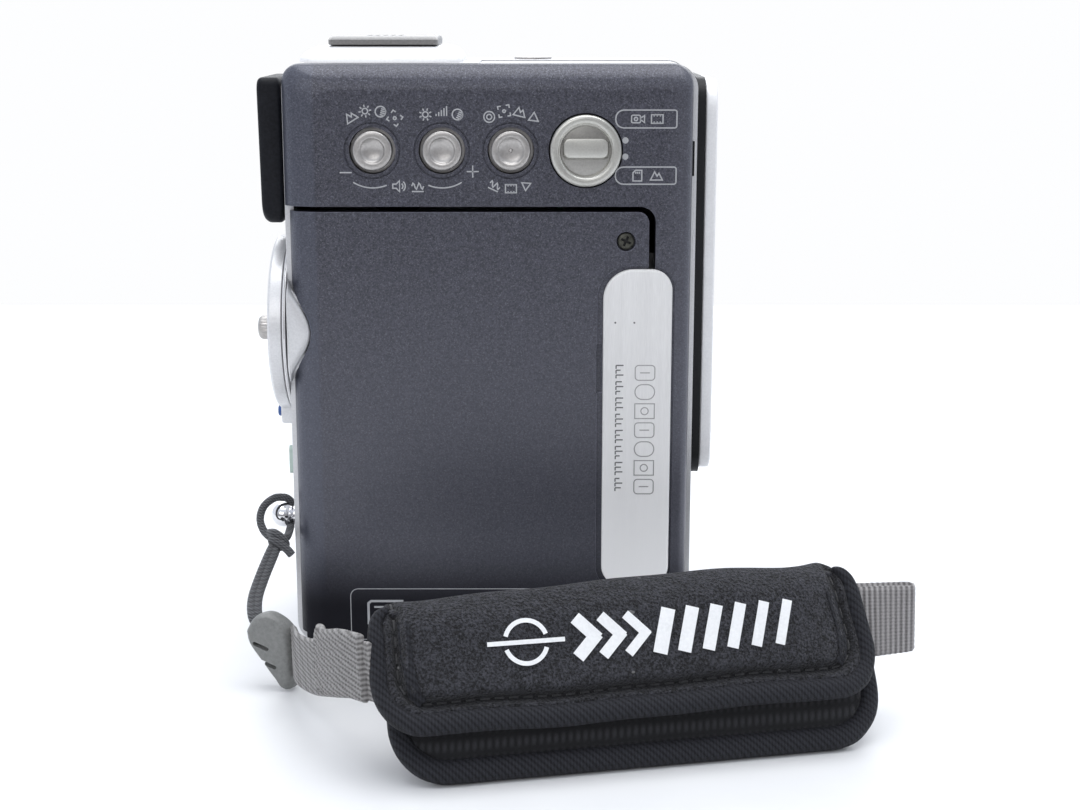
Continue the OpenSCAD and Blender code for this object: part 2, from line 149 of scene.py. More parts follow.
# Name: dark colour, light colour, roughness, metallic, noise scale, bump distance in metres.
SURFACES = {
    # knob_recess_painted_shade is a darker copy of knob_metal: painted shade in the knob's recess
    "knob_recess_painted_shade": ((0.34, 0.33, 0.31), (0.43, 0.42, 0.395), 0.3, 0.85, 2600, 8e-6),
    "lever_grey": ((0.20, 0.195, 0.19), (0.28, 0.272, 0.265), 0.35, 0.5, 2200, 10e-6),
    # casing_silver is the body's silver; silver_lacquer is lighter and
    # silver_lacquer_painted_light lighter still: painted light for parts that show brighter
    "casing_silver": ((0.48, 0.48, 0.49), (0.58, 0.58, 0.59), 0.5, 0.5, 3000, 14e-6),
    "silver_lacquer_painted_light": ((0.80, 0.80, 0.81), (0.88, 0.88, 0.89), 0.42, 0.15, 2200, 10e-6),
    "silver_lacquer": ((0.65, 0.65, 0.66), (0.75, 0.75, 0.76), 0.36, 0.4, 2600, 12e-6),
    "brushed_plate": ((0.70, 0.695, 0.69), (0.82, 0.815, 0.81), 0.45, 0.12, 900, 14e-6),
    "satin_metal": ((0.41, 0.395, 0.38), (0.52, 0.50, 0.485), 0.36, 0.85, 2400, 8e-6),
    "knob_metal": ((0.50, 0.495, 0.46), (0.60, 0.595, 0.555), 0.32, 0.75, 2600, 8e-6),
    "polished_metal": ((0.72, 0.72, 0.74), (0.82, 0.82, 0.84), 0.10, 1.0, 700, 3e-6),
    "black_plastic": ((0.005, 0.005, 0.006), (0.012, 0.012, 0.0135), 0.45, 0.0, 2200, 20e-6),
    # painted_shade_black: near black that stands in for shade in holes and slots
    "painted_shade_black": ((0.004, 0.004, 0.004), (0.008, 0.008, 0.008), 0.7, 0.0, 1200, 10e-6),
    "eyecup_rubber": ((0.005, 0.0055, 0.0075), (0.011, 0.012, 0.016), 0.5, 0.0, 1800, 20e-6),
    "grey_plastic": ((0.12, 0.122, 0.12), (0.17, 0.172, 0.17), 0.5, 0.0, 1900, 20e-6),
    "buckle_plastic": ((0.17, 0.173, 0.168), (0.24, 0.243, 0.235), 0.48, 0.0, 1500, 30e-6),
    "screw_steel": ((0.055, 0.055, 0.046), (0.11, 0.11, 0.093), 0.4, 0.85, 1500, 10e-6),
    "machined_aluminium": ((0.55, 0.55, 0.57), (0.68, 0.68, 0.70), 0.4, 0.9, 700, 10e-6),
    "socket_brass": ((0.52, 0.42, 0.24), (0.66, 0.56, 0.34), 0.3, 0.95, 900, 10e-6),
    "board_green": ((0.01, 0.09, 0.04), (0.02, 0.15, 0.07), 0.45, 0.0, 500, 30e-6),
    "white_moulded": ((0.62, 0.62, 0.60), (0.72, 0.72, 0.70), 0.5, 0.0, 1200, 10e-6),
    "screen_print": ((0.34, 0.345, 0.36), (0.44, 0.445, 0.46), 0.6, 0.0, 4000, 4e-6),
    "etched_mark": ((0.13, 0.13, 0.13), (0.20, 0.20, 0.20), 0.6, 0.4, 4000, 4e-6),
    "etched_soft": ((0.36, 0.355, 0.35), (0.44, 0.435, 0.43), 0.5, 0.7, 4000, 4e-6),
    "white_transfer": ((0.74, 0.75, 0.76), (0.84, 0.85, 0.86), 0.6, 0.0, 1800, 20e-6),
    "record_red": ((0.20, 0.012, 0.012), (0.30, 0.02, 0.02), 0.3, 0.0, 900, 10e-6),
    "lock_blue": ((0.015, 0.06, 0.22), (0.03, 0.10, 0.32), 0.3, 0.0, 900, 10e-6),
    "lamp_green": ((0.42, 0.52, 0.47), (0.5, 0.6, 0.55), 0.25, 0.0, 900, 10e-6),
    "display_gloss": ((0.006, 0.007, 0.010), (0.012, 0.014, 0.02), 0.10, 0.0, 300, 2e-6),
    "flash_diffuser": ((0.62, 0.62, 0.58), (0.75, 0.75, 0.70), 0.2, 0.0, 1200, 60e-6),
    "stitch_thread": ((0.010, 0.010, 0.011), (0.045, 0.045, 0.048), 0.8, 0.0, 5000, 30e-6),
    "floor_white": ((0.71, 0.715, 0.725), (0.75, 0.755, 0.76), 0.55, 0.0, 30, 10e-6),
}
SURFACE_EXTRAS = {
    "silver_lacquer_painted_light": dict(coat=0.2),
    "silver_lacquer": dict(coat=0.15),
    "brushed_plate": dict(stretch=(14, 1, 0.35), rough_var=0.06),
    "satin_metal": dict(rough_var=0.05),
    "knob_metal": dict(rough_var=0.05),
    "polished_metal": dict(rough_var=0.04),
    "black_plastic": dict(spec=0.25),
    "eyecup_rubber": dict(rough_var=0.1, spec=0.16),
    "machined_aluminium": dict(stretch=(8, 1, 1)),
    "record_red": dict(coat=0.4),
    "lock_blue": dict(coat=0.4),
    "lamp_green": dict(coat=0.5),
    "display_gloss": dict(rough_var=0.03, coat=0.8),
    "flash_diffuser": dict(stretch=(1, 5, 1), coat=0.6),
    "stitch_thread": dict(sheen=0.3),
}
# Painted light on the paint, faded in along an axis: paler lower down (painted floor reflection),
# and paler at the front edge and the rear rounded edge (painted highlights). Columns: axis, start
# and end of the fade in metres, most, tint.
PAINTED_LIGHT_FADES = (
    (2, 0.103, 0.035, 0.46, (0.115, 0.117, 0.140)),
    (0, 0.0335, 0.0395, 0.30, (0.12, 0.124, 0.150)),
    (0, -0.0350, -0.0360, 0.30, (0.090, 0.102, 0.140)),
)


def flake_paint(name, highlight_gain=1.0):
    """Dark metallic paint with bright flakes and painted light: paler lower down and at the front
    and rear edges, and painted shade darkening it to near black at the foot.
    """
    # highlight_gain scales every colour; above 1 it makes a lighter copy of the paint, a painted
    # highlight
    def gained(colour):
        return tuple(highlight_gain * channel for channel in colour)

    mat = Material(name)
    vector = mat.mapped()
    cells = mat.voronoi(vector, 5200)["Color"]
    flakes = mat.add("SeparateColor", {0: cells}).outputs
    fine = mat.noise(vector, 2600, detail=3, rough=0.7)
    wide = mat.noise(vector, 60)
    base = mat.ramp(fine, low=0.37, high=0.63, dark=gained((0.028, 0.0285, 0.038)),
                    light=gained((0.075, 0.076, 0.100)))
    glint = mat.calc("POWER", flakes[0], 7.0)
    colour = mat.blend(mat.calc("MULTIPLY", glint, 0.38), base, (0.24, 0.245, 0.28))
    axes = mat.split(vector)
    # painted light: the colour fades towards each tint
    for axis, start, end, most, tint in PAINTED_LIGHT_FADES:
        colour = mat.blend(mat.fade(axes[axis], start, end, most), colour, gained(tint))
    # painted shade at the foot: the strap pad's shadow and dark reflection; coat and specular drop
    # there too
    foot = mat.fade(axes[2], start=0.009, end=0.025)
    colour = mat.blend(foot, (0.012, 0.012, 0.016), colour)
    rough = mat.calc("ADD", mat.calc("MULTIPLY", wide, 0.05), 0.36)
    coat = mat.calc("MULTIPLY", foot, 0.12)
    spec = mat.calc("ADD", mat.calc("MULTIPLY", foot, 0.4), 0.1)
    height = mat.calc("ADD", fine, mat.calc("MULTIPLY", flakes[1], 0.5))
    mat.finish(height, 22e-6, Base_Color=colour, Metallic=0.35, Roughness=rough,
               Coat_Weight=coat, Specular_IOR_Level=spec, Coat_Roughness=0.25)


def pad_knit():
    """Velour-like knit: a mottled pile, painted shade along the stitched groove and sparse pale
    lint.
    """
    mat = Material("pad_knit")
    vector = mat.mapped()
    scale = 2100
    pile = mat.noise(vector, scale, detail=4, rough=0.75)
    mottle = mat.noise(vector, scale / 4.5, detail=3, rough=0.6)
    loops = mat.voronoi(vector, scale * 0.9)["Distance"]
    tone = mat.calc(
        "ADD", mat.calc("MULTIPLY", pile, 0.82), mat.calc("MULTIPLY", mottle, 0.18))
    colour = mat.ramp(tone, low=0.43, high=0.62, dark=(0.002, 0.002, 0.003),
                      light=(0.062, 0.063, 0.077))
    # painted shade: the knit darkens along the stitched groove
    groove = mat.add("Attribute", {}, attribute_name="groove").outputs["Fac"]
    colour = mat.blend(groove, colour, (0.0015, 0.0015, 0.002))
    lint = mat.calc("GREATER_THAN", mat.noise(vector, 420, detail=1, rough=0.3), 0.79)
    colour = mat.blend(mat.calc("MULTIPLY", lint, 0.5), colour, (0.3, 0.3, 0.3))
    height = mat.calc("ADD", pile, mat.calc("MULTIPLY", loops, 0.6))
    mat.finish(height, 600e-6, Base_Color=colour, Roughness=0.92, Sheen_Weight=0.10,
               Sheen_Roughness=0.6, Specular_IOR_Level=0.25)


def weave(name, dark, light, bands, period, bump, lead=None, smooth=False):
    """Ribbed fabric: two crossed waves with fibre noise.

    bands holds (direction, frequency factor) pairs. lead is the first wave's share; without
    it the waves are multiplied. period and bump are in metres.
    """
    rough, distortion, sheen, spec = (
        (0.62, 2.2, 0.03, 0.2) if smooth else (0.85, 0.6, 0.2, 0.3))
    mat = Material(name)
    waves = []
    for direction, factor in bands:
        inputs = {"Scale": factor / period * 0.314159, "Distortion": distortion,
                  "Detail Scale": 900, "Vector": mat.mapped()}
        wave = mat.add("TexWave", inputs, wave_type="BANDS", bands_direction=direction)
        waves.append(wave.outputs["Fac"])
    fibre = mat.noise(mat.mapped(), 4200, detail=3, rough=0.7)
    if lead is None:
        cloth = mat.calc("MULTIPLY", waves[0], waves[1])
    else:
        cloth = mat.calc("ADD", mat.calc("MULTIPLY", waves[0], lead),
                         mat.calc("MULTIPLY", waves[1], 1 - lead))
    height = mat.calc(
        "ADD", mat.calc("MULTIPLY", cloth, 0.55), mat.calc("MULTIPLY", fibre, 0.45))
    colour = mat.ramp(height, low=0.15, high=0.75, dark=dark, light=light)
    mat.finish(height, bump, Base_Color=colour, Roughness=rough, Sheen_Weight=sheen,
               Specular_IOR_Level=spec)


def lens_glass():
    mat = Material("lens_glass")
    cloud = mat.noise(mat.mapped(), 90)
    colour = mat.ramp(
        cloud, low=0.3, high=0.7, dark=(0.02, 0.022, 0.05), light=(0.03, 0.033, 0.075))
    rough = mat.calc("ADD", mat.calc("MULTIPLY", cloud, 0.03), 0.03)
    mat.feed(mat.shader, {"Base Color": colour, "Roughness": rough, "Coat Weight": 1.0,
                          "Coat Tint": (0.55, 0.6, 1.0), "IOR": 1.5})


def paint_plate_floor_reflection():
    """Paints a floor reflection on the brushed plate: lighter smoothly towards its lower end."""
    nodes = Nodes(MATS["brushed_plate"].node_tree)
    shader = next(n for n in nodes.tree.nodes if n.type == "BSDF_PRINCIPLED")
    colour = shader.inputs["Base Color"].links[0].from_socket
    coords = nodes.add("TexCoord", {}).outputs["Object"]
    # painted reflection of the white floor, strongest at the plate's foot
    foot = nodes.fade(nodes.split(coords)[2], start=0.062, end=0.016, most=0.9)
    nodes.feed(shader, {"Base Color": nodes.blend(foot, colour, (0.97, 0.965, 0.96))})


flake_paint("flake_paint")
# lighter copy of the paint for bevelled edges: painted highlight
flake_paint("flake_paint_painted_highlight", highlight_gain=2.6)
for name, row in SURFACES.items():
    surface(name, *row, **SURFACE_EXTRAS.get(name, {}))
paint_plate_floor_reflection()
lens_glass()
pad_knit()
weave("pad_lining", dark=(0.004, 0.004, 0.005), light=(0.030, 0.030, 0.034),
      bands=(("X", 1.0), ("Z", 0.5)), period=0.0013, bump=180e-6)
weave("binding_tape", dark=(0.002, 0.002, 0.003), light=(0.032, 0.033, 0.041),
      bands=(("DIAGONAL", 1.0), ("X", 1.4)), period=0.0008, bump=160e-6, lead=0.6, smooth=True)
weave("cord_braid", dark=(0.006, 0.006, 0.008), light=(0.125, 0.127, 0.134),
      bands=(("DIAGONAL", 1.2), ("Z", 1.0)), period=0.0005, bump=120e-6, lead=0.5)
weave("webbing_weave", dark=(0.085, 0.08, 0.078), light=(0.37, 0.36, 0.355),
      bands=(("Z", 1.0), ("X", 1.3)), period=0.0009, bump=220e-6, lead=0.82)
weave("webbing_weave_end", dark=(0.08, 0.076, 0.076), light=(0.38, 0.365, 0.365),
      bands=(("X", 1.0), ("Z", 1.6)), period=0.0010, bump=220e-6, lead=0.8)


# ---------------------------------------------------------------- mesh helpers
def shade(obj, angle):
    mesh = obj.data
    mesh.polygons.foreach_set("use_smooth", [True] * len(mesh.polygons))
    mesh.set_sharp_from_angle(angle=math.radians(angle))
    mesh.update()


def make_object(name, verts, faces, mat, smooth=35.0):
    """Makes an object from millimetre vertices; smooth is the sharp-edge angle."""
    mesh = bpy.data.meshes.new(name)
    mesh.from_pydata([(v[0] * MM, v[1] * MM, v[2] * MM) for v in verts], [], faces)
    mesh.validate()
    bm = bmesh.new()
    bm.from_mesh(mesh)
    bmesh.ops.remove_doubles(bm, verts=bm.verts, dist=1e-7)
    bmesh.ops.recalc_face_normals(bm, faces=bm.faces)
    bm.to_mesh(mesh)
    bm.free()
    obj = bpy.data.objects.new(name, mesh)
    bpy.context.scene.collection.objects.link(obj)
    if mat:
        mesh.materials.append(MATS[mat])
    shade(obj, smooth)
    return obj


def bake(obj):
    """Applies all modifiers."""
    graph = bpy.context.evaluated_depsgraph_get()
    graph.update()
    mesh = bpy.data.meshes.new_from_object(
        obj.evaluated_get(graph), preserve_all_data_layers=True, depsgraph=graph)
    old = obj.data
    obj.modifiers.clear()
    obj.data = mesh
    bpy.data.meshes.remove(old)


def add_modifier(obj, name, kind, **settings):
    modifier = obj.modifiers.new(name, kind)
    for key, value in settings.items():
        setattr(modifier, key, value)


def apply(obj, kind, **settings):
    add_modifier(obj, kind.lower(), kind, **settings)
    bake(obj)


def boolean(obj, cutters, operation="DIFFERENCE"):
    for cutter in cutters:
        apply(obj, "BOOLEAN", operation=operation, solver="EXACT", object=cutter)
        bpy.data.objects.remove(cutter)


def clean(obj):
    """Tidies a mesh after booleans; distances are in metres."""
    bm = bmesh.new()
    bm.from_mesh(obj.data)
    bmesh.ops.remove_doubles(bm, verts=bm.verts, dist=2e-6)
    bmesh.ops.dissolve_degenerate(bm, edges=bm.edges, dist=2e-6)
    bmesh.ops.dissolve_limit(
        bm, angle_limit=math.radians(0.6), verts=bm.verts, edges=bm.edges)
    bmesh.ops.recalc_face_normals(bm, faces=bm.faces)
    bm.to_mesh(obj.data)
    bm.free()


def soften(obj, width, segments, highlight_mat=None):
    """Bevels sharp edges, in a painted-highlight material if one is given."""
    if highlight_mat:
        obj.data.materials.append(MATS[highlight_mat])
    apply(obj, "BEVEL", material=1 if highlight_mat else -1, width=width * MM, segments=segments,
          limit_method="ANGLE", angle_limit=math.radians(40), use_clamp_overlap=True,
          miter_outer="MITER_ARC")
    shade(obj, 35)
    apply(obj, "WEIGHTED_NORMAL", keep_sharp=True, weight=60)


def attach(obj, body, slot, *replaced):
    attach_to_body(obj, body)
    if replaced:
        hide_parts(*replaced)


# ---------------------------------------------------------------- shape helpers
def arc(x, z, radius, start, end, steps=16):
    points = []
    for i in range(steps + 1):
        angle = math.radians(start + (end - start) * i / steps)
        points.append((x + radius * math.cos(angle), z + radius * math.sin(angle)))
    return points


def round_rect(x0, x1, z0, z1, radii, steps=8):
    """radii: one, or (top right, top left, bottom left, bottom right)."""
    if isinstance(radii, (int, float)):
        radii = (radii,) * 4
    r0, r1, r2, r3 = radii
    return (arc(x1 - r0, z1 - r0, r0, 0, 90, steps) + arc(x0 + r1, z1 - r1, r1, 90, 180, steps)
            + arc(x0 + r2, z0 + r2, r2, 180, 270, steps)
            + arc(x1 - r3, z0 + r3, r3, 270, 360, steps))


def at_x(outline, x):
    return [(x, y, z) for y, z in outline]


def at_y(outline, y):
    return [(x, y, z) for x, z in outline]


def at_z(outline, z):
    return [(x, y, z) for x, y in outline]


def loft(name, rings, mat, smooth=35):
    """Skins equal rings and closes both ends."""
    count = len(rings[0])
    faces = []
    for k in range(0, (len(rings) - 1) * count, count):
        for i in range(count):
            j = (i + 1) % count
            faces.append((k + i, k + j, k + count + j, k + count + i))
    faces.append(tuple(range(count))[::-1])
    faces.append(tuple((len(rings) - 1) * count + i for i in range(count)))
    return make_object(name, [point for ring in rings for point in ring], faces, mat, smooth)


def prism(outline, y0, y1, name="cutter", mat=None):
    return loft(name, [at_y(outline, y0), at_y(outline, y1)], mat)


def box(x0, x1, y0, y1, z0, z1, name="cutter", mat=None):
    return prism([(x0, z0), (x1, z0), (x1, z1), (x0, z1)], y0, y1, name, mat)


def turned_to(cutter, x, z, degrees):
    """Turns a cutter made at the origin about Y and moves it to (x, z)."""
    cutter.data.transform(Matrix.Translation((x * MM, 0, z * MM))
                          @ Matrix.Rotation(math.radians(degrees), 4, "Y"))
    return cutter


def lathe(name, profile, origin, axis, mat=None, steps=72, smooth=35, ripple=None):
    """Turns (radius, height along axis) points; ripple(radius, height, angle) may alter
    a radius. A profile that leaves the axis at both ends closes on itself."""
    axis = Vector(axis).normalized()
    across = axis.orthogonal().normalized()
    third = axis.cross(across)
    origin = Vector(origin)
    verts, faces, rows = [], [], []
    for radius, height in profile:
        if radius < 1e-6:
            rows.append([len(verts)])
            verts.append(origin + axis * height)
            continue
        rows.append(list(range(len(verts), len(verts) + steps)))
        for i in range(steps):
            angle = 2 * math.pi * i / steps
            reach = ripple(radius, height, angle) if ripple else radius
            spoke = across * math.cos(angle) + third * math.sin(angle)
            verts.append(origin + axis * height + spoke * reach)
    if len(rows[0]) > 1 and len(rows[-1]) > 1:
        rows.append(rows[0])
    for low, high in zip(rows, rows[1:]):
        if len(low) == 1 and len(high) == 1:
            continue
        for i in range(steps):
            j = (i + 1) % steps
            if len(low) == 1:
                faces.append((low[0], high[i], high[j]))
            elif len(high) == 1:
                faces.append((low[i], high[0], low[j]))
            else:
                faces.append((low[i], high[i], high[j], low[j]))
    return make_object(name, verts, faces, mat, smooth)


def catmull(points, steps):
    """Smooth path through the points, with a number of steps per span."""
    knots = [Vector(point) for point in points]
    knots = [knots[0] * 2 - knots[1]] + knots + [knots[-1] * 2 - knots[-2]]
    path = []
    for a, b, c, d in zip(knots, knots[1:], knots[2:], knots[3:]):
        for k in range(steps):
            t = k / steps
            path.append(0.5 * ((2 * b) + (c - a) * t + (2 * a - 5 * b + 4 * c - d) * t * t
                               + (3 * b - a - 3 * c + d) * t ** 3))
    path.append(knots[-2].copy())
    return path


def sweep(name, path, section, mat, up=(0, 0, 1), smooth=80, along=None):
    """Carries section(index, run, total), a list of (sideways, upwards), along a path.
    along(run, upwards) shifts a point along the path."""
    last = len(path) - 1
    total = sum((path[i + 1] - path[i]).length for i in range(last))
    run = 0.0
    rings = []
    for i, centre in enumerate(path):
        ahead = path[min(i + 1, last)] - path[max(i - 1, 0)]
        ahead.normalize()
        side = ahead.cross(Vector(up)).normalized()
        rise = side.cross(ahead).normalized()
        if i:
            run += (centre - path[i - 1]).length
        rings.append([centre + side * a + rise * b + (ahead * along(run, b) if along else Vector())
                      for a, b in section(i, run, total)])
    return loft(name, rings, mat, smooth)


def cord_section(radius, rib=0.02, period=1.1, helix=3):
    def section(i, run, total):
        points = []
        for k in range(14):
            angle = 2 * math.pi * k / 14
            swell = 1 + rib * math.sin(2 * math.pi * run / period + helix * angle)
            points.append((radius * swell * math.cos(angle), radius * swell * math.sin(angle)))
        return points
    return section


def strokes(name, lines, width, place, mat, thick):
    """Raised ribbons. Each line is (points, closed) or (points, closed, own width);
    place(u, v, height) gives the 3-D point."""
    verts, faces = [], []
    for points, closed, *own_width in lines:
        breadth = own_width[0] if own_width else width
        count = len(points)
        base = len(verts)
        for i in range(count):
            here = Vector(points[i])
            before = Vector(points[i - 1]) if (i or closed) else here
            after = Vector(points[(i + 1) % count]) if (i < count - 1 or closed) else here
            arrive, leave = here - before, after - here
            arrive = arrive.normalized() if arrive.length > 1e-9 else leave.normalized()
            leave = leave.normalized() if leave.length > 1e-9 else arrive
            mean = arrive + leave
            mean = mean.normalized() if mean.length > 1e-6 else arrive
            normal = Vector((-mean.y, mean.x))
            miter = 1.0 / max(0.5, abs(normal.dot(Vector((-arrive.y, arrive.x)))))
            for sign in (1, -1):
                edge = here + normal * (sign * breadth * 0.5 * miter)
                verts += [place(edge.x, edge.y, -0.02), place(edge.x, edge.y, thick)]
        for i in range(count if closed else count - 1):
            a = base + 4 * i
            b = base + 4 * ((i + 1) % count)
            faces += [(a + 1, b + 1, b + 3, a + 3), (a, a + 2, b + 2, b),
                      (a, b, b + 1, a + 1), (a + 2, a + 3, b + 3, b + 2)]
        if not closed:
            end = base + 4 * (count - 1)
            faces += [(base, base + 1, base + 3, base + 2), (end, end + 2, end + 3, end + 1)]
    return make_object(name, verts, faces, mat, 30)


def rounding(width, depth, distance, power=1.75):
    """Inset of a rounded rim: width at its edge, falling to 0 at the given depth."""
    if distance >= depth:
        return 0.0
    rest = 1 - distance / depth
    return width * (1 - (1 - rest ** power) ** (1 / power))


# ---------------------------------------------------------------- painted side
FACE_Y = -26.0          # outer face of the paint
INNER_Y = -24.2         # inner face of the wall
CUT_OUT, CUT_IN = -27, -20      # cutters run from outside the face to beyond the rim
SEAT_Y = -25.55         # floor of the grip plate's shallow seat
PLATE_Y = -26.8         # face of the grip plate
ROW_Z = 104.9           # height of the buttons and the mode knob
BUTTON_X = (-23.85, -10.0, 3.7)
KNOB_X = 18.6
KNOB_HOLE = 7.42
SCREW_X, SCREW_Z = 26.8, 86.8
NOTCH_Z = 68            # middle of the thumb notch
SHELL_DEPTH = 4.4
# Distances behind the painted face at which the shell's outline is taken.
SHELL_STATIONS = (0, 0.05, 0.14, 0.28, 0.5, 0.74, 0.8, 0.9, 1.2, 1.7, 2.3, 3.0, 3.7, SHELL_DEPTH)


def side_shell(name, rear_x):
    rings = []
    for s in SHELL_STATIONS:
        t = s / SHELL_DEPTH
        x0 = rear_x + (5.9 - 2.7 * s / 0.8 if s < 0.8 else rounding(3.2, 3.6, s - 0.8))
        x1 = 40.0 - rounding(2.0, 2.4, s, 2.0)
        z0 = 0.3 + rounding(1.2, 1.4, s, 2.0)
        z1 = 121.9 - rounding(5.6, SHELL_DEPTH, s)
        radii = (3.0 + 1.0 * t, 4.6 - 0.8 * t, 2.0 + t, 2.0 + t)
        rings.append(at_y(round_rect(x0, x1, z0, z1, radii, 10), FACE_Y + s))
    return loft(name, rings, "flake_paint", 30)


def door_window(x1, z1, radius):
    """The door's area: open below and to the rear, one rounded corner."""
    return ([(-60, -10), (x1, -10), (x1, z1 - radius)]
            + arc(x1 - radius, z1 - radius, radius, 0, 90, 8)[1:] + [(-60, z1)])


def round_hole(x, z, radius, y1=CUT_IN, steps=56):
    return prism(arc(x, z, radius, 0, 360 - 360 / steps, steps - 1), CUT_OUT, y1)


def bell(x0, swell, half_height, steps=48):
    """Rear-edge curve that swells forward by the notch, as (x, z)."""
    return [(x0 + swell * math.cos(math.pi / 2 * (2 * i / steps - 1)) ** 2,
             NOTCH_Z + half_height * (2 * i / steps - 1)) for i in range(steps + 1)]


def plate_seat():
    outline = round_rect(21.1, 36.8, 13.7, 81.85, (4.6, 6.6, 4.6, 4.6), 10)
    return prism(outline, CUT_OUT, SEAT_Y)


def ring_groove(x):
    profile = [(5.25, 0), (5.68, 0), (5.68, 1.0), (5.25, 1.0)]
    return lathe("cutter", profile, (x, -25.6, ROW_Z), OUTWARD, steps=64)


side = side_shell("painted_side_housing", rear_x=-42.1)
boolean(side, [
    prism(door_window(32.75, 93.8, 3.2), -30, CUT_IN),
    prism(round_rect(-39.4, 38.8, 95.3, 120.1, 2.0), INNER_Y, CUT_IN),
    prism(round_rect(34.3, 38.8, 2.1, 96.0, 1.0), INNER_Y, CUT_IN),
    *[round_hole(x, ROW_Z, 4.65) for x in BUTTON_X],
    round_hole(KNOB_X, ROW_Z, KNOB_HOLE, steps=72),
    *[ring_groove(x) for x in BUTTON_X],
    plate_seat(),
])
clean(side)
# the bevel faces take the lighter paint: a painted highlight along the edges
soften(side, 0.24, 3, highlight_mat="flake_paint_painted_highlight")
attach(side, "body", "paint", "side_housing")

door = side_shell("painted_cassette_door", rear_x=-41.2)
boolean(door, [prism(door_window(31.4, 92.7, 2.2), -30, CUT_IN)], "INTERSECT")
boolean(door, [
    prism(round_rect(-39.6, 29.8, 2.1, 91.1, 1.5), INNER_Y, CUT_IN),
    box(-39.6, 50, INNER_Y, CUT_IN, -2, 6),
    box(-50, -39.5, INNER_Y, CUT_IN, -2, 3.4),
    prism(bell(-41.2, 4.05, 11.2) + [(-60, 79.2), (-60, 56.8)], -30, CUT_IN),
    round_hole(SCREW_X, SCREW_Z, 1.98, y1=-24.75, steps=40),
    plate_seat(),
    box(20.95, 22.2, CUT_OUT, -25.0, 55.7, 65.8),
])
clean(door)
# the bevel faces take the lighter paint: a painted highlight along the edges
soften(door, 0.24, 3, highlight_mat="flake_paint_painted_highlight")
# two hinge knuckles at the foot, each with a web to the door
KNUCKLE_X, KNUCKLE_LENGTH = (-20, 8), 10
knuckle = [(0.85, 0), (1.5, 0), (1.5, KNUCKLE_LENGTH), (0.85, KNUCKLE_LENGTH)]
hinge = [lathe("knuckle", knuckle, (x, -22.6, 3.4), FORWARD, "flake_paint", 40)
         for x in KNUCKLE_X]
hinge += [box(x, x + KNUCKLE_LENGTH, -24.4, -23.7, 2.4, 4.4, "web", "flake_paint")
          for x in KNUCKLE_X]
bpy.ops.object.select_all(action="DESELECT")
for piece in [door] + hinge:
    piece.select_set(True)
bpy.context.view_layer.objects.active = door
bpy.ops.object.join()
attach(door, "cassette_door", "paint", "cassette_cover")

# Thumb rest, from inside to outside: swell, half height, y.
THUMB_REST = (
    (3.2, 10.2, -21.6), (3.3, 10.4, -24.2), (4.2, 11.0, -24.3), (4.2, 11.0, -24.75),
    (4.05, 10.7, -25.1), (3.75, 10.3, -25.38), (3.3, 9.8, -25.6), (2.7, 9.0, -25.76),
    (2.0, 8.0, -25.86), (1.3, 6.8, -25.9),
)
rings = []
for swell, half, y in THUMB_REST:
    straight = [(-41.95, NOTCH_Z + half * (1 - 2 * (i + 1) / 10)) for i in range(9)]
    rings.append(at_y(bell(-41.5, swell, half, 40) + straight, y))
attach(loft("thumb_rest_bulge", rings, "silver_lacquer", 60), "body", "silver")

# Grip plate rim: inset, distance behind the plate's face.
PLATE_RIM = ((0.0, 1.15), (0.0, 0.42), (0.05, 0.22), (0.14, 0.10), (0.28, 0.03), (0.5, 0.0))
rings = []
for s, behind in PLATE_RIM:
    radii = (4.2 - s, 6.1 - s, 4.2 - s, 4.2 - s)
    outline = round_rect(22.3 + s, 36.25 - s, 14.5 + s, 81.2 - s, radii, 12)
    rings.append(at_y(outline, PLATE_Y + behind))
plate = loft("brushed_grip_plate", rings, "brushed_plate", 25)
attach(plate, "cassette_door", "satin_metal", "grip_plate")


def on_side(u, v, height):
    return u, FACE_Y - height, v


def on_plate(u, v, height):
    return u, PLATE_Y - height, v


# engraving on the plate: a column of open frames and a column of fine ticks
ENGRAVING_TOP, ENGRAVING_FOOT = 61.6, 35.4
FRAME_X0, FRAME_X1, FRAME_HEIGHT, FRAME_PITCH = 28.9, 32.9, 3.1, 4.0
TICK_X = 25.0
frames, ticks = [], []
for k in range(7):
    top = ENGRAVING_TOP - k * FRAME_PITCH
    low, middle = top - FRAME_HEIGHT, top - FRAME_HEIGHT / 2
    if k % 3 == 0:
        frames.append((round_rect(FRAME_X0, FRAME_X1, low, top, 0.7, 4), True))
        frames.append(([(FRAME_X0 + 1.0, middle), (FRAME_X1 - 1.0, middle)], False))
    elif k % 3 == 1:
        frames.append((round_rect(FRAME_X0, FRAME_X1, low, top, 1.5, 6), True))
    else:
        corners = [(FRAME_X0, top), (FRAME_X1, top), (FRAME_X1, low), (FRAME_X0, low)]
        frames.append((corners, True))
        frames.append((arc((FRAME_X0 + FRAME_X1) / 2, middle, 0.75, 0, 340), True))
z = ENGRAVING_TOP
k = 0
while z > ENGRAVING_FOOT:
    ticks.append(([(TICK_X, z), (TICK_X + (1.5, 0.9, 1.5, 1.2)[k % 4], z)], False))
    ticks.append(([(TICK_X, z - 0.7), (TICK_X, z)], False))
    z -= (1.0, 1.0, 1.4)[k % 3]
    k += 1
for name, lines, width, mat in (("plate_engraved_frames", frames, 0.22, "etched_soft"),
                                ("plate_engraved_ticks", ticks, 0.26, "etched_mark")):
    attach(strokes(name, lines, width, on_plate, mat, 0.012), "cassette_door", "satin_metal")
for i, x in enumerate((24.75, 28.6)):
    dot = lathe("plate_punch_dot_%d" % i, [(0, 0), (0.2, 0), (0.2, 0.015), (0, 0.02)],
                (x, PLATE_Y, 70.4), OUTWARD, "etched_mark", 12)
    attach(dot, "cassette_door", "satin_metal")

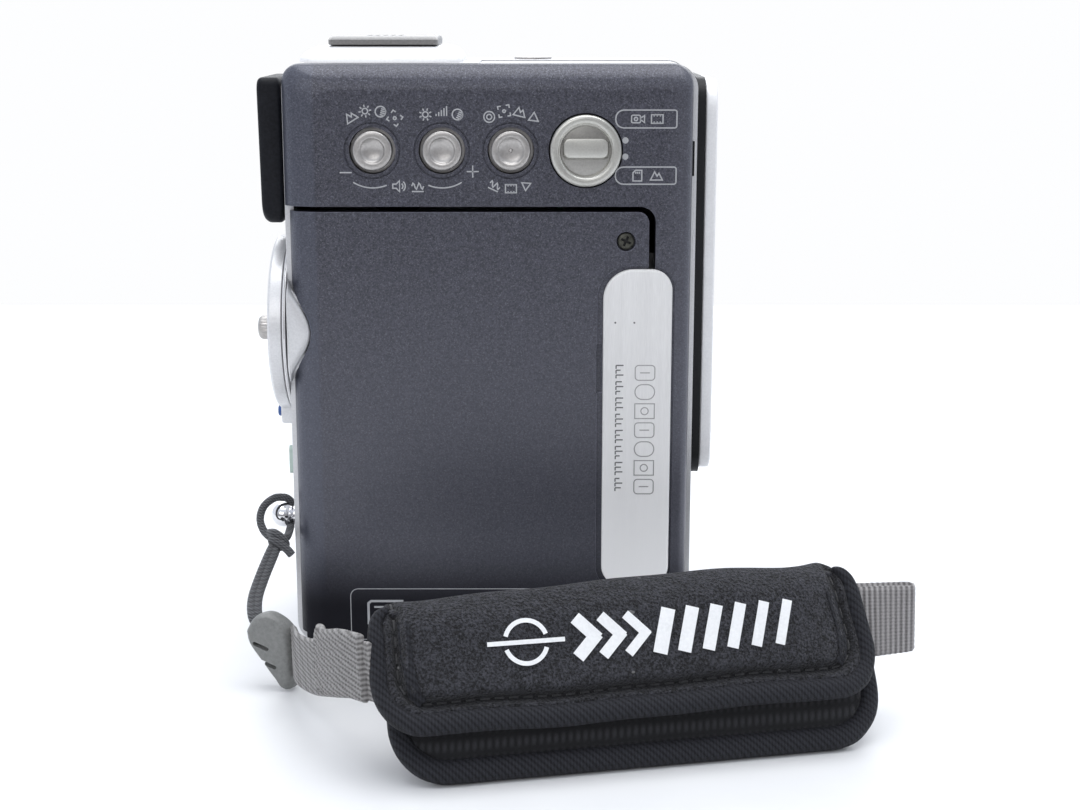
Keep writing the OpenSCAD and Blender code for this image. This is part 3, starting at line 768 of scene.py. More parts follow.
# door screw with a cross slot and a tapered centre
screw = lathe("door_screw", [(0, 0), (0.8, 0), (0.8, 1.4), (1.72, 1.5), (1.72, 2.05),
                             (1.55, 2.2), (0.9, 2.28), (0, 2.3)],
              (SCREW_X, -23.3, SCREW_Z), OUTWARD, "screw_steel", 40)
boolean(screw, [turned_to(box(-1.05, 1.05, -26, -25.1, -0.24, 0.24), SCREW_X, SCREW_Z, angle)
                for angle in (25, 115)])
boolean(screw, [lathe("cutter", [(0, 0), (0.55, 0), (0.2, 0.7), (0, 0.8)],
                      (SCREW_X, -25.75, SCREW_Z), (0, 1, 0), steps=20)])
attach(screw, "cassette_door", "black_plastic", "cover_screw")

# ---------------------------------------------------------------- buttons and knob
# (radius, height) profiles: a shared flange and barrel, then each button's face.
BUTTON_BARREL = [
    (0, 0), (4.6, 0), (4.6, 1.3), (4.5, 1.45), (3.97, 1.5), (3.97, 3.22), (3.92, 3.42),
    (3.78, 3.62), (3.58, 3.73)]
# Object name, body, node, face profile.
BUTTONS = (
    ("side_button_first", "minus", "minus_button", [
        (3.3, 3.78), (2.75, 3.8), (2.55, 3.76), (2.4, 3.5), (2.25, 3.3), (1.6, 3.02),
        (0.8, 2.86), (0, 2.8)]),
    ("side_button_second", "plus", "plus_button", [
        (3.3, 3.78), (2.9, 3.78), (2.7, 3.72), (2.5, 3.4), (2.3, 3.2), (1.6, 2.95),
        (0.8, 2.82), (0, 2.78)]),
    ("side_button_third", "focus", "focus_button", [
        (3.3, 3.78), (2.9, 3.78), (2.7, 3.72), (2.5, 3.42), (2.3, 3.26), (1.6, 3.08),
        (0.9, 3.0), (0.42, 2.98), (0.36, 3.1), (0.24, 3.26), (0, 3.32)]),
)
for x, (name, body, node, face) in zip(BUTTON_X, BUTTONS):
    button = lathe(
        name, BUTTON_BARREL + face, (x, -22.6, ROW_Z), OUTWARD, "satin_metal", 80, 50)
    attach(button, body, "satin_metal", node)

KNOB_PROFILE = [
    (0, 0), (2.95, 0), (2.95, 1.3), (7.1, 1.4), (7.1, 4.15), (7.02, 4.4), (6.78, 4.62),
    (6.45, 4.7), (5.65, 4.7), (5.5, 4.62), (5.38, 4.5), (5.3, 4.52), (5.15, 4.5), (5.0, 4.2),
    (4.92, 3.75), (0, 3.7)]
knob = lathe("mode_knob_body", KNOB_PROFILE, (KNOB_X, -22.5, ROW_Z), OUTWARD, "knob_metal",
             120, 32)
attach(knob, "mode", "polished", "mode_knob")
rings = []
for t in (0, 0.35, 0.6, 0.8, 0.93, 1.0):
    top_inset = t == 1
    half = 4.62 - 0.35 * t - (0.32 if top_inset else 0)
    high = 2.35 + 0.1 * t - (0.28 if top_inset else 0)
    low = -1.75 + 0.55 * t + (0.28 if top_inset else 0)
    outline = round_rect(-half, half, low, high, min(1.15, (high - low) / 2 - 0.05))
    rings.append([(KNOB_X + a, -26.35 - 1.35 * t, ROW_Z + b) for a, b in outline])
attach(loft("mode_knob_grip", rings, "knob_metal", 40), "mode", "polished")

# dark wells behind the knob and the buttons: painted shade in the gaps around them
well = lathe("knob_well", [(KNOB_HOLE, 0), (8.4, 0), (8.4, 0.8), (0, 0.8), (0, 0.5),
                           (KNOB_HOLE, 0.5)],
             (KNOB_X, -23.9, ROW_Z), (0, 1, 0), "painted_shade_black", 60)
attach(well, "body", "black_plastic")
for i, x in enumerate(BUTTON_X):
    well = lathe("button_well_%d" % i, [(4.66, 0), (5.5, 0), (5.5, 2.0), (4.66, 2.0)],
                 (x, -24.15, ROW_Z), (0, 1, 0), "painted_shade_black", 60)
    attach(well, "body", "black_plastic")
# the knob's recess floor in the darker copy: painted shade
recess = lathe("mode_knob_recess", [(0, 0), (4.88, 0), (4.88, 0.12), (4.6, 0.16), (3.0, 0.34),
                                    (0, 0.42)],
               (KNOB_X, -26.15, ROW_Z), OUTWARD, "knob_recess_painted_shade", 72)
attach(recess, "mode", "polished")
# dark disc seen through the screw's cross slot: painted shade
shadow = lathe("screw_cross_shadow", [(0, 0), (1.3, 0), (1.3, 0.2), (0, 0.2)],
               (SCREW_X, -25.0, SCREW_Z), OUTWARD, "painted_shade_black", 24)
attach(shadow, "cassette_door", "black_plastic")


# ---------------------------------------------------------------- printed marks
def polar(radius, degrees):
    return radius * math.cos(math.radians(degrees)), radius * math.sin(math.radians(degrees))


def opened(*lines):
    return [(list(points), False) for points in lines]


# Pictograms of unit half-size, as (points, closed) lines.
ICONS = {
    "sun": [(arc(0, 0, 0.42, 0, 336, 14), True)]
           + opened(*[(polar(0.62, 45 * k), polar(0.98, 45 * k)) for k in range(8)]),
    "half": [(arc(0, 0, 0.8, 0, 345, 22), True)]
            + opened(*[((0.0, q), (math.sqrt(0.64 - q * q), q))
                       for q in (-0.45, -0.15, 0.15, 0.45)]),
    "frame": opened(*[((0.9 * i, 0.35 * j), (0.9 * i, 0.85 * j), (0.4 * i, 0.85 * j))
                      for i in (-1, 1) for j in (-1, 1)])
             + [(arc(0, 0, 0.22, 0, 330, 10), True)],
    "hill": [([(-0.95, -0.7), (-0.3, 0.6), (0.1, -0.1), (0.4, 0.35), (0.95, -0.7)], True)],
    "bars": opened(*[((-0.8 + 0.4 * k, -0.75), (-0.8 + 0.4 * k, -0.75 + rise))
                     for k, rise in enumerate((0.3, 0.6, 0.9, 1.2, 1.5))]),
    "speaker": [([(-0.9, -0.3), (-0.4, -0.3), (0.1, -0.8), (0.1, 0.8), (-0.4, 0.3),
                  (-0.9, 0.3)], True)]
               + opened(arc(0.1, 0, 0.5, -50, 50, 8), arc(0.1, 0, 0.85, -50, 50, 10)),
    "wave": opened([(-0.95 + 0.19 * k, 0.5 * math.sin(k * 1.257)) for k in range(11)],
                   [(-0.95, -0.85), (0.95, -0.85)]),
    "lens": [(arc(0, 0, 0.85, 0, 345, 22), True), (arc(0, 0, 0.4, 0, 336, 14), True)],
    "play": [([(-0.6, -0.75), (0.75, 0), (-0.6, 0.75)], True)],
    "film": [([(-0.95, -0.7), (0.95, -0.7), (0.95, 0.7), (-0.95, 0.7)], True)]
            + opened(*[((q, low), (q, low + 0.3)) for q in (-0.5, 0, 0.5)
                       for low in (-0.7, 0.4)]),
    "card": [([(-0.7, -0.85), (0.7, -0.85), (0.7, 0.85), (-0.3, 0.85), (-0.7, 0.45)], True)]
            + opened(*[((q, 0.3), (q, 0.6)) for q in (-0.25, 0.05, 0.35)]),
    "camera": [(round_rect(-0.95, 0.35, -0.55, 0.55, 0.2, 3), True)]
              + opened([(0.35, 0.1), (0.95, 0.5), (0.95, -0.5), (0.35, -0.1)])
              + [(arc(-0.3, 0, 0.25, 0, 330, 10), True)],
}


def icon(kind, x, z, size, turn=0):
    cosine, sine = polar(1, turn)
    return [([(x + size * (a * cosine - b * sine), z + size * (a * sine + b * cosine))
              for a, b in points], closed) for kind_line in ICONS[kind]
            for points, closed in (kind_line,)]


def icons_round(x, kinds, radius, middle, step, size, below=False):
    """Pictograms on an arc about a button, read from left to right."""
    lines = []
    for i, kind in enumerate(kinds):
        angle = middle + (i - (len(kinds) - 1) / 2) * step * (1 if below else -1)
        across, up = polar(radius, angle)
        lines += icon(kind, x + across, ROW_Z + up, size, angle + (90 if below else -90))
    return lines


first, second, third = BUTTON_X
marks = (
    icons_round(first, ["hill", "sun", "half", "frame"], 7.9, middle=88, step=22.5, size=1.3)
    + icons_round(second, ["sun", "bars", "half"], 7.8, middle=90, step=24, size=1.3)
    + icons_round(third, ["lens", "frame", "hill", "play"], 7.9, middle=88, step=23, size=1.25)
    + icons_round(third, ["wave", "film", "play"], 7.5, middle=-90, step=25, size=1.15,
                  below=True)
    + icon("speaker", -18.65, 97.9, 1.35) + icon("wave", -14.9, 97.9, 1.25)
    + opened(arc(first, ROW_Z, 7.35, 238, 292, 14), arc(second, ROW_Z, 7.35, 248, 302, 14),
             [(-30.4, 100.6), (-28.0, 100.6)], [(-5.1, 100.8), (-2.7, 100.8)],
             [(-3.9, 99.6), (-3.9, 102.0)])
    + [(round_rect(24.5, 36.6, z0, z1, (0.45, 1.6, 1.6, 0.45), 5), True)
       for z0, z1 in ((109.4, 112.9), (98.3, 101.7))]
    + icon("camera", 28.9, 111.15, 1.35) + icon("film", 32.7, 111.15, 1.2)
    + icon("card", 28.9, 100.0, 1.25) + icon("hill", 32.7, 100.0, 1.25))
attach(strokes("printed_pictograms", marks, 0.26, on_side, "screen_print", 0.02),
       "body", "paint")
for i, z in enumerate((106.95, 103.75)):
    dot = lathe("printed_dot_%d" % i, [(0, -0.02), (0.62, -0.02), (0.62, 0.02), (0, 0.02)],
                (26.45, FACE_Y, z), OUTWARD, "screen_print", 28)
    attach(dot, "body", "paint")
# framed cassette sign at the foot of the door, each line with its own width
foot_sign = [
    (round_rect(-30.3, 10, 2.4, 13.6, 1.6, 5), True, 0.16),
    ([(-26.6, 6.0), (-26.6, 10.4), (-26.0, 10.9), (-19.5, 10.9), (-19.5, 6.0)], True, 0.5),
    ([(-25.4, 9.6), (-20.6, 9.6)], False, 0.4),
    (arc(-24.6, 7.9, 0.8, 0, 336, 14), True, 0.3),
    (arc(-21.5, 7.9, 0.8, 0, 336, 14), True, 0.3),
]
attach(strokes("door_foot_sign", foot_sign, 0.2, on_side, "screen_print", 0.02),
       "cassette_door", "paint")

# ---------------------------------------------------------------- rear: eyecup
CUP_X, CUP_LENGTH = -42.45, 4.75
rings = []
for t in (0, 0.03, 0.08, 0.14, 0.22, 0.4, 0.58, 0.68, 0.76, 0.84, 0.91, 0.96, 0.985, 1.0):
    root = 1 - t / 0.12 if t < 0.12 else 0      # narrows where the cup meets the body
    low = 89.9 + rounding(2.0, 0.42, 1 - t, 2.0) + rounding(1.1, 0.22, t, 2.0) + 0.5 * root
    high = 119.1 - rounding(1.1, 0.24, 1 - t, 2.0) - rounding(0.8, 0.18, t, 2.0) - 0.4 * root
    inward = rounding(1.0, 0.3, 1 - t, 2.0) + 0.4 * root
    outline = round_rect(-22 + inward, 2 - inward, low, high, (1.6, 1.6, 2.6, 2.6), 10)
    # the outer face leans in towards the foot
    rings.append([(CUP_X - CUP_LENGTH * t + 0.35 * max(0.0, (112 - z) / 21.0) * t, y, z)
                  for y, z in outline])
cup = loft("rubber_eyecup", rings, "eyecup_rubber", 50)
boolean(cup, [lathe("cutter", [(0, -1), (5.6, -1), (5.9, 3.2), (7.4, 5.2), (8.0, 6), (0, 6)],
                    (CUP_X, -11, 105.3), REARWARD, steps=56)])
clean(cup)
shade(cup, 50)
attach(cup, "viewfinder", "rubber", "eyecup")

# ---------------------------------------------------------------- rear: power dial
DIAL_Y, DIAL_Z = -8, 67.4
LOCK_Z = 48
DIAL_PROFILE = [
    (0, -0.8), (3.0, -0.8), (3.0, 0.0), (18.1, 0.0), (18.35, 0.15), (18.4, 0.35), (18.4, 2.0),
    (18.3, 2.35), (18.0, 2.7), (17.5, 2.92), (16.8, 3.0), (14.0, 3.1), (11.0, 3.2),
    (8.2, 3.26), (8.0, 3.2), (7.8, 3.2), (7.6, 3.3), (7.45, 3.68), (7.2, 3.8), (4.6, 3.84),
    (3.0, 3.84), (2.75, 3.7), (2.7, 0.4), (0, 0.4)]
RECORD_PROFILE = [
    (0, 0), (2.5, 0), (2.6, 0.1), (2.6, 1.6), (2.45, 1.75), (2.45, 2.1), (2.6, 2.25),
    (2.6, 3.4), (2.45, 3.55), (2.45, 3.9), (2.6, 4.05), (2.6, 5.1), (2.4, 5.6), (2.0, 5.95),
    (1.4, 6.1), (0, 6.1)]


def dial_knurl(radius, height, angle):
    if radius > 18.2 and 0.3 < height < 2.3:
        return radius - 0.10 * (0.5 + 0.5 * math.cos(90 * angle))
    return radius


def record_knurl(radius, height, angle):
    if radius > 2.4 and height > 0.5:
        return radius - 0.07 * (1 + math.cos(24 * angle))
    return radius


dial = lathe("power_dial_disc", DIAL_PROFILE, (-43.1, DIAL_Y, DIAL_Z), REARWARD,
             "silver_lacquer", 216, 30, dial_knurl)
attach(dial, "dial", "silver", "power_dial")
# tab below the dial, as (inset, x), with a hole for the lock button
TAB_STATIONS = ((0.0, -43.1), (0.0, -45.5), (0.12, -45.82), (0.4, -46.0))
tab = loft("dial_lock_tab",
           [at_x(round_rect(-10.5 + s, -5.5 - s, 45.5 + s, 53.5, 0.9, 6), x)
            for s, x in TAB_STATIONS], "silver_lacquer", 35)
boolean(tab, [lathe("cutter", [(0, 0), (1.28, 0), (1.28, 4), (0, 4)],
                    (-43.3, DIAL_Y, LOCK_Z), REARWARD, steps=32)])
attach(tab, "dial", "silver")
lock = lathe("lock_button_cap", [(0, 0), (1.2, 0), (1.2, 2.4), (1.1, 2.58), (0.8, 2.68),
                                 (0, 2.7)],
             (-44.2, DIAL_Y, LOCK_Z), REARWARD, "lock_blue", 32, 50)
attach(lock, "lock", "blue_plastic", "lock_button")
record = lathe("record_button_cap", RECORD_PROFILE, (-44.4, DIAL_Y, 66.2), REARWARD,
               "satin_metal", 96, 35, record_knurl)
attach(record, "record", "satin_metal", "record_button")
collar = lathe("dial_collar", [(3.05, 0), (18.6, 0), (18.6, 0.35), (18.4, 0.62), (17.8, 0.72),
                               (16.6, 0.70), (3.05, 0.70)],
               (-42.27, DIAL_Y, DIAL_Z), REARWARD, "silver_lacquer", 120, 35)
attach(collar, "body", "silver", "dial_base")
scale = strokes("dial_scale_marks", opened(arc(DIAL_Y, DIAL_Z, 20.4, 138, 180, 14)), 0.3,
                lambda u, v, height: (-42.2 - height, u, v), "etched_mark", 0.02)
attach(scale, "body", "silver")

# strap post: a flange, a neck and a ball
BALL_RADIUS, BALL_CENTRE = 2.6, 2.75
post = [(0, 0), (3.0, 0), (3.0, 0.28), (2.7, 0.45), (1.5, 0.5), (1.2, 0.8), (1.15, 1.2)]
for angle in range(-60, 91, 10):
    across, up = polar(BALL_RADIUS, angle)
    post.append((across if angle < 90 else 0, BALL_CENTRE + up))
attach(lathe("strap_post_ball", post, (-42.25, -18, 27.5), REARWARD, "polished_metal", 56, 50),
       "body", "polished", "strap_post")

# ---------------------------------------------------------------- top: zoom lever
rings = []
for t in (0.0, 0.06, 0.2, 0.4, 0.6, 0.8, 0.92, 1.0):
    pull = 1 - math.sqrt(max(0.0, 1 - t * t))
    outline = round_rect(-39 + 5.0 * pull, -6 - 4.0 * pull, -19.5 + 7.5 * pull,
                         4 - 1.2 * pull, 3.2)
    rings.append(at_z(outline, 122.02 + 3.18 * t))
# the hump takes the lightest silver: painted light
hump = loft("zoom_hump", rings, "silver_lacquer_painted_light", 60)
boolean(hump, [box(-28, -17, -8.6, -3.4, 123.5, 127)])
clean(hump)
shade(hump, 60)
attach(hump, "body", "silver", "zoom_pedestal")

# Lever plate: z, inset at the -Y edge, inset at the other edges.
LEVER_STATIONS = (
    (125.3, 0.25, 0.2), (125.42, 0.05, 0.05), (126.35, 0.0, 0.0), (126.6, 0.5, 0.1),
    (126.95, 1.5, 0.25), (127.08, 2.1, 0.5))
lever = loft("zoom_lever_plate",
             [at_z(round_rect(-33.4 + s, -11.15 - s, -15 + near, 3 - s, 0.9, 6), z)
              for z, near, s in LEVER_STATIONS], "lever_grey", 40)
boolean(lever, [box(-24, -21, -8.4, -3.6, 123.7, 125.6)], "UNION")
boolean(lever, [box(-26 + i * 1.6, -25.4 + i * 1.6, -10, 0, 126.85, 128) for i in range(5)])
clean(lever)
shade(lever, 35)
attach(lever, "zoom_rocker", "satin_metal", "zoom_lever")
attach(box(40.2, 40.6, -21.56, -20.1, 99.5, 106.5, "front_sensor_window", "black_plastic"),
       "body", "black_plastic")

# ---------------------------------------------------------------- kept CAD pieces
# Material: {node: bevel width, or 0 for none}.
CAD_LOOKS = {
    "casing_silver": {"left_casing": 0.35, "lcd_shell": 0.7},
    "silver_lacquer": {"rear_casing": 0.2, "front_casing": 0.2, "socket_cover": 0.15,
                       "lcd_hinge": 0.25, "battery_door": 0.2},
    "machined_aluminium": {"hinge_pin": 0.05, "base_plate": 0, "chassis": 0, "guide_deck": 0,
                           "cassette_tray": 0},
    "polished_metal": {"head_drum": 0.15},
    "white_moulded": {"supply_reel": 0.1, "takeup_reel": 0.1},
    "black_plastic": {"tape_cassette": 0.3, "front_panel": 0.3, "lens_barrel": 0.25,
                      "zoom_lens_group": 0.1, "socket_block": 0.1, "speaker": 0.1,
                      "viewfinder_tube": 0.2, "battery_pack": 0.3},
    "board_green": {"main_board": 0, "image_sensor": 0},
    "screw_steel": {"casing_screws": 0.05},
    "socket_brass": {"tripod_socket": 0.2},
    # the front trim takes the lightest silver: painted light
    "silver_lacquer_painted_light": {"front_trim": 0.4},
    "lens_glass": {"lens_front_glass": 0, "eyepiece_lens": 0.2},
    "flash_diffuser": {"flash_window": 0.2},
    "grey_plastic": {"microphone_grille": 0.1, "diopter_lever": 0.15},
    "lamp_green": {"charge_lamp": 0.2},
    "display_gloss": {"viewfinder_display": 0, "lcd_screen": 0.1},
    "satin_metal": {"snapshot_button": 0.3, "menu_button": 0.2},
}


def dress(obj, mat, bevel):
    mesh = obj.data
    mesh.materials.clear()
    mesh.materials.append(MATS[mat])
    for polygon in mesh.polygons:
        polygon.material_index = 0
    mesh.polygons.foreach_set("use_smooth", [True] * len(mesh.polygons))
    mesh.set_sharp_from_angle(angle=math.radians(28))
    if bevel:
        add_modifier(obj, "weld", "WELD", merge_threshold=1e-6)
        add_modifier(obj, "bev", "BEVEL", width=bevel * MM, segments=3, limit_method="ANGLE",
                     angle_limit=math.radians(50), use_clamp_overlap=True)
        add_modifier(obj, "wn", "WEIGHTED_NORMAL", keep_sharp=True)


for mat, pieces in CAD_LOOKS.items():
    for node, bevel in pieces.items():
        dress(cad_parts[node], mat, bevel)

# inlay and groove on the display lid
LID_Y = 26.0
lid = round_rect(-22, 20, 68, 102, 3.2)
inlay = loft("display_lid_inlay",
             [at_y(lid, LID_Y - 0.02), at_y(round_rect(-21.9, 19.9, 68.1, 101.9, 3.1), LID_Y)],
             "satin_metal", 30)
attach(inlay, "lcd_panel", "silver")
groove = strokes("display_lid_groove", [(lid, True)], 0.5,
                 lambda u, v, height: (u, LID_Y + height * 0.3, v), "black_plastic", 0.03)
attach(groove, "lcd_panel", "silver")

# ---------------------------------------------------------------- strap pad: shape
# The pad is built upright along X in its own frame, outer face to -Y, then moved in place.
PAD_PLACE = (Matrix.Translation((-20 * MM, -94.6 * MM, 0))
             @ Matrix.Rotation(math.radians(12), 4, "Z")
             @ Matrix.Rotation(math.radians(-24), 4, "X"))
FLAP_X0, FLAP_X1, FLAP_Z0, FLAP_Z1 = 2.2, 92.2, 9.8, 30.6
BACK_X0, BACK_X1, BACK_Z0, BACK_Z1 = 5.4, 93.6, 2.05, 29.0
STITCH_INSET = 3.6
LAST_FRAME = 20


def pad_slab(name, outline, y0, y1, voxel, edge):
    """Slab with softened rims, remeshed evenly."""
    middle_x = sum(point[0] for point in outline) / len(outline)
    middle_z = sum(point[1] for point in outline) / len(outline)
    rings = []
    for s, y in ((edge, y0), (edge * 0.35, y0 + edge * 0.3), (0, y0 + edge),
                 (0, y1 - edge), (edge * 0.35, y1 - edge * 0.3), (edge, y1)):
        ring = []
        for x, z in outline:
            away = Vector((x - middle_x, z - middle_z))
            ring.append((x - math.copysign(s, away.x) * min(1, abs(away.x) / 6), y,
                         z - math.copysign(s, away.y) * min(1, abs(away.y) / 3)))
        rings.append(ring)
    slab = loft(name, rings, None, 180)
    apply(slab, "REMESH", mode="VOXEL", voxel_size=voxel * MM, use_smooth_shade=True)
    return slab


def simulate(obj, pressure, cap):
    """Blows the cloth up, then limits each vertex to cap millimetres of movement."""
    rest = [v.co.copy() for v in obj.data.vertices]
    # the simulation runs at ten times size, where the solver is well behaved
    obj.data.transform(Matrix.Scale(10.0, 4))
    modifier = obj.modifiers.new("cloth", "CLOTH")
    cloth = modifier.settings
    cloth.quality = 5
    cloth.mass = 0.3
    cloth.tension_stiffness = 15
    cloth.compression_stiffness = 15
    cloth.bending_stiffness = 0.5
    cloth.use_pressure = True
    cloth.uniform_pressure_force = pressure
    cloth.effector_weights.gravity = 0
    modifier.collision_settings.use_collision = False
    scene = bpy.context.scene
    for span in (scene, modifier.point_cache):
        span.frame_start, span.frame_end = 1, LAST_FRAME
    for number in range(1, LAST_FRAME + 1):
        scene.frame_set(number)
        bpy.context.evaluated_depsgraph_get().update()
    bake(obj)
    obj.data.transform(Matrix.Scale(0.1, 4))
    scene.frame_set(1)
    for v, start in zip(obj.data.vertices, rest):
        move = v.co - start
        if move.length > cap * MM:
            v.co = start + move * (cap * MM / move.length)


def inflate(obj, pressure, cap):
    simulate(obj, pressure, cap)
    apply(obj, "SMOOTH", factor=0.6, iterations=4)
    apply(obj, "SUBSURF", levels=1)


def path_distance(x, z, path):
    best = 1e9
    for (ax, az), (bx, bz) in zip(path, path[1:]):
        dx, dz = bx - ax, bz - az
        t = max(0, min(1, ((x - ax) * dx + (z - az) * dz) / (dx * dx + dz * dz + 1e-9)))
        best = min(best, math.hypot(x - ax - t * dx, z - az - t * dz))
    return best


def flare(x, z):
    """How far the flap's lower edge stands out towards -Y."""
    t = max(0.0, (22.0 - z) / 12.5)
    ends = min(1.0, max(0.0, (x + 2) / 12.0)) * min(1.0, max(0.0, (94 - x) / 12.0))
    return 2.6 * t * t * (0.45 + 0.55 * ends)


def warp(x, z):
    """Pad outline: the +X end runs longer low down and the top rises towards it."""
    along = max(0.0, min(1.0, x / 94.0))
    up = max(0.0, min(1.0, (z - 8) / 22.0))
    end = max(0.0, min(1.0, (x - 40) / 52.0))
    shift = (1.9 - 3.6 * (z - 10) / 20.0) * end * end * (3 - 2 * end)
    crown = 1.6 + 2.3 * max(0.0, 1 - ((x - 46) / 47.0) ** 2)
    wobble = 0.35 * math.sin(x * 0.11 + 0.6) + 0.2 * math.sin(x * 0.27 + 2.0)
    return x + shift, (z + 2.5 * along ** 1.5 * up + 0.9 * along ** 3 * (1 - up)
                       + wobble * 0.6 + crown * up * up)


def lean_back(z):
    """The back layer's foot comes towards -Y."""
    return -3.3 * max(0.0, 1 - z / 24.0) ** 1.2


def u_path(x0, x1, z0, z1, radius, hook=0.0):
    """Open path down, along and up; hook turns its two upper ends inwards."""
    path = [(x0, z1)] if not hook else arc(x0 + hook, z1 - hook, hook, 90, 180, 10)
    path += [(x0, z0 + radius)] + arc(x0 + radius, z0 + radius, radius, 180, 270, 12)[1:]
    path += arc(x1 - radius, z0 + radius, radius, 270, 360, 12)
    return path + ([(x1, z1)] if not hook else arc(x1 - hook, z1 - hook, hook, 0, 90, 10))


def resample(path, step):
    """Even steps along a path, plus its last point."""
    points = [Vector(path[0])]
    left_over = 0.0
    for start, end in zip(path, path[1:]):
        a, b = Vector(start), Vector(end)
        length = (b - a).length
        if length < 1e-9:
            continue
        t = step - left_over
        while t <= length:
            points.append(a + (b - a) * (t / length))
            t += step
        left_over = length - (t - step)
    points.append(Vector(path[-1]))
    return [tuple(point) for point in points]


def binding(name, outline, half_width, half_thick, place):
    """Edge tape with a rounded section, thinner at its ends; place(x, z) gives 3-D."""
    path = [Vector(place(x, z)) for x, z in resample(outline, 0.22)]

    def section(i, run, total):
        size = 1 + 0.035 * noise.noise(Vector((run * 0.35, 3.0, 0)))
        size *= 0.12 + 0.88 * min(1.0, min(run, total - run) / 6.5) ** 0.6
        ahead = path[min(len(path) - 1, i + 4)] - path[max(0, i - 4)]
        size *= 1 - 0.2 * (abs(ahead.z) / max(1e-6, ahead.length)) ** 2
        points = []
        for k in range(20):
            cosine = math.cos(2 * math.pi * k / 20)
            sine = math.sin(2 * math.pi * k / 20)
            points.append((math.copysign(abs(cosine) ** 0.8, cosine) * half_width * size,
                           math.copysign(abs(sine) ** 0.9, sine) * half_thick * size))
        return points

    return sweep(name, path, section, "binding_tape", up=OUTWARD, smooth=180)


# ---------------------------------------------------------------- strap pad: front flap
flap = pad_slab("pad_front_flap",
                round_rect(FLAP_X0, FLAP_X1, FLAP_Z0, FLAP_Z1, (3.6, 3.2, 7.0, 7.0), 10),
                -3.9, -0.5, voxel=1.15, edge=1.1)
inflate(flap, pressure=4.0, cap=1.0)
stitch_line = u_path(FLAP_X0 + STITCH_INSET, FLAP_X1 - STITCH_INSET, FLAP_Z0 + 3.7,
                     FLAP_Z1 - 1.0, 4.8)
groove_shade_values = []
for v in flap.data.vertices:
    x, y, z = v.co.x / MM, v.co.y / MM, v.co.z / MM
    front = max(0.0, min(1.0, (-1.6 - y) / 1.2))
    gap = path_distance(x, z, stitch_line)
    dent = math.exp(-(gap / 0.75) ** 2)
    # painted shade along the stitched groove, passed to the knit as the groove attribute
    groove_shade_values.append(0.8 * front * math.exp(-(gap / 0.9) ** 2))
    y += front * 1.6 * dent
    # the padding swells between the stitched lines
    if FLAP_X0 + STITCH_INSET < x < FLAP_X1 - STITCH_INSET and z > FLAP_Z0 + 3.7:
        swell = max(0.0, 1 - ((z - 21.5) / 8.5) ** 2)
        y -= (front * 1.3 * swell * min(1.0, (x - FLAP_X0 - STITCH_INSET) / 6.0)
              * min(1.0, (FLAP_X1 - STITCH_INSET - x) / 6.0))
    # slow creases across the face
    y -= front * 0.45 * noise.noise(Vector((x * 0.055, z * 0.12, 1.3))) * (1 - dent)
    # the top edge rolls back over the fold
    top = max(0.0, (z - 24.5) / 6.1)
    y += 2.9 * top * top
    y -= flare(x, z)
    x, z = warp(x, z)
    v.co = Vector((x * MM, y * MM, z * MM))
attribute = flap.data.attributes.new("groove", "FLOAT", "POINT")
attribute.data.foreach_set("value", groove_shade_values)
flap.data.materials.append(MATS["pad_knit"])
shade(flap, 180)


def flap_edge(x, z):
    warped_x, warped_z = warp(x, z)
    return warped_x, -2.5 - flare(x, z), warped_z


flap_tape = binding(
    "pad_front_binding",
    u_path(FLAP_X0 + 0.3, FLAP_X1 - 0.3, FLAP_Z0 + 0.35, FLAP_Z1 - 1.9, 7.4, hook=2.6),
    1.98, 2.2, flap_edge)
flap_tree = BVHTree.FromObject(flap, bpy.context.evaluated_depsgraph_get())


def flap_hit(x, z):
    """The point of the flap's outer face at (x, z), or None beside the flap."""
    point = flap_tree.ray_cast(Vector((x * MM, -0.03, z * MM)), Vector((0, 1, 0)))[0]
    return None if point is None else point / MM


# stitches: raised threads of six samples, one every eight
THREAD_SAMPLES, THREAD_PITCH, THREAD_SIDES = 6, 8, 6
samples = [warp(x, z) for x, z in resample(stitch_line, 0.32)]
verts, faces = [], []
for i in range(0, len(samples) - THREAD_SAMPLES, THREAD_PITCH):
    points = [flap_hit(x, z) for x, z in samples[i:i + THREAD_SAMPLES]]
    if None in points:
        continue
    for j, point in enumerate(points):
        lift = 0.05 + 0.16 * math.sin(math.pi * j / 5)
        ahead = (points[min(j + 1, 5)] - points[max(j - 1, 0)]).normalized()
        across = ahead.cross(Vector(OUTWARD)).normalized()
        base = len(verts)
        for m in range(THREAD_SIDES):
            angle = 2 * math.pi * m / THREAD_SIDES
            verts.append(point + Vector((0, -lift, 0)) + across * (0.2 * math.cos(angle))
                         + Vector(OUTWARD) * (0.17 * math.sin(angle)))
        ring = tuple(range(base, base + THREAD_SIDES))
        if j:
            for m in range(THREAD_SIDES):
                n = (m + 1) % THREAD_SIDES
                faces.append((ring[m] - THREAD_SIDES, ring[n] - THREAD_SIDES, ring[n], ring[m]))
        else:
            faces.append(ring[::-1])
        if j == THREAD_SAMPLES - 1:
            faces.append(ring)
stitches = make_object("pad_stitches", verts, faces, "stitch_thread", 60)

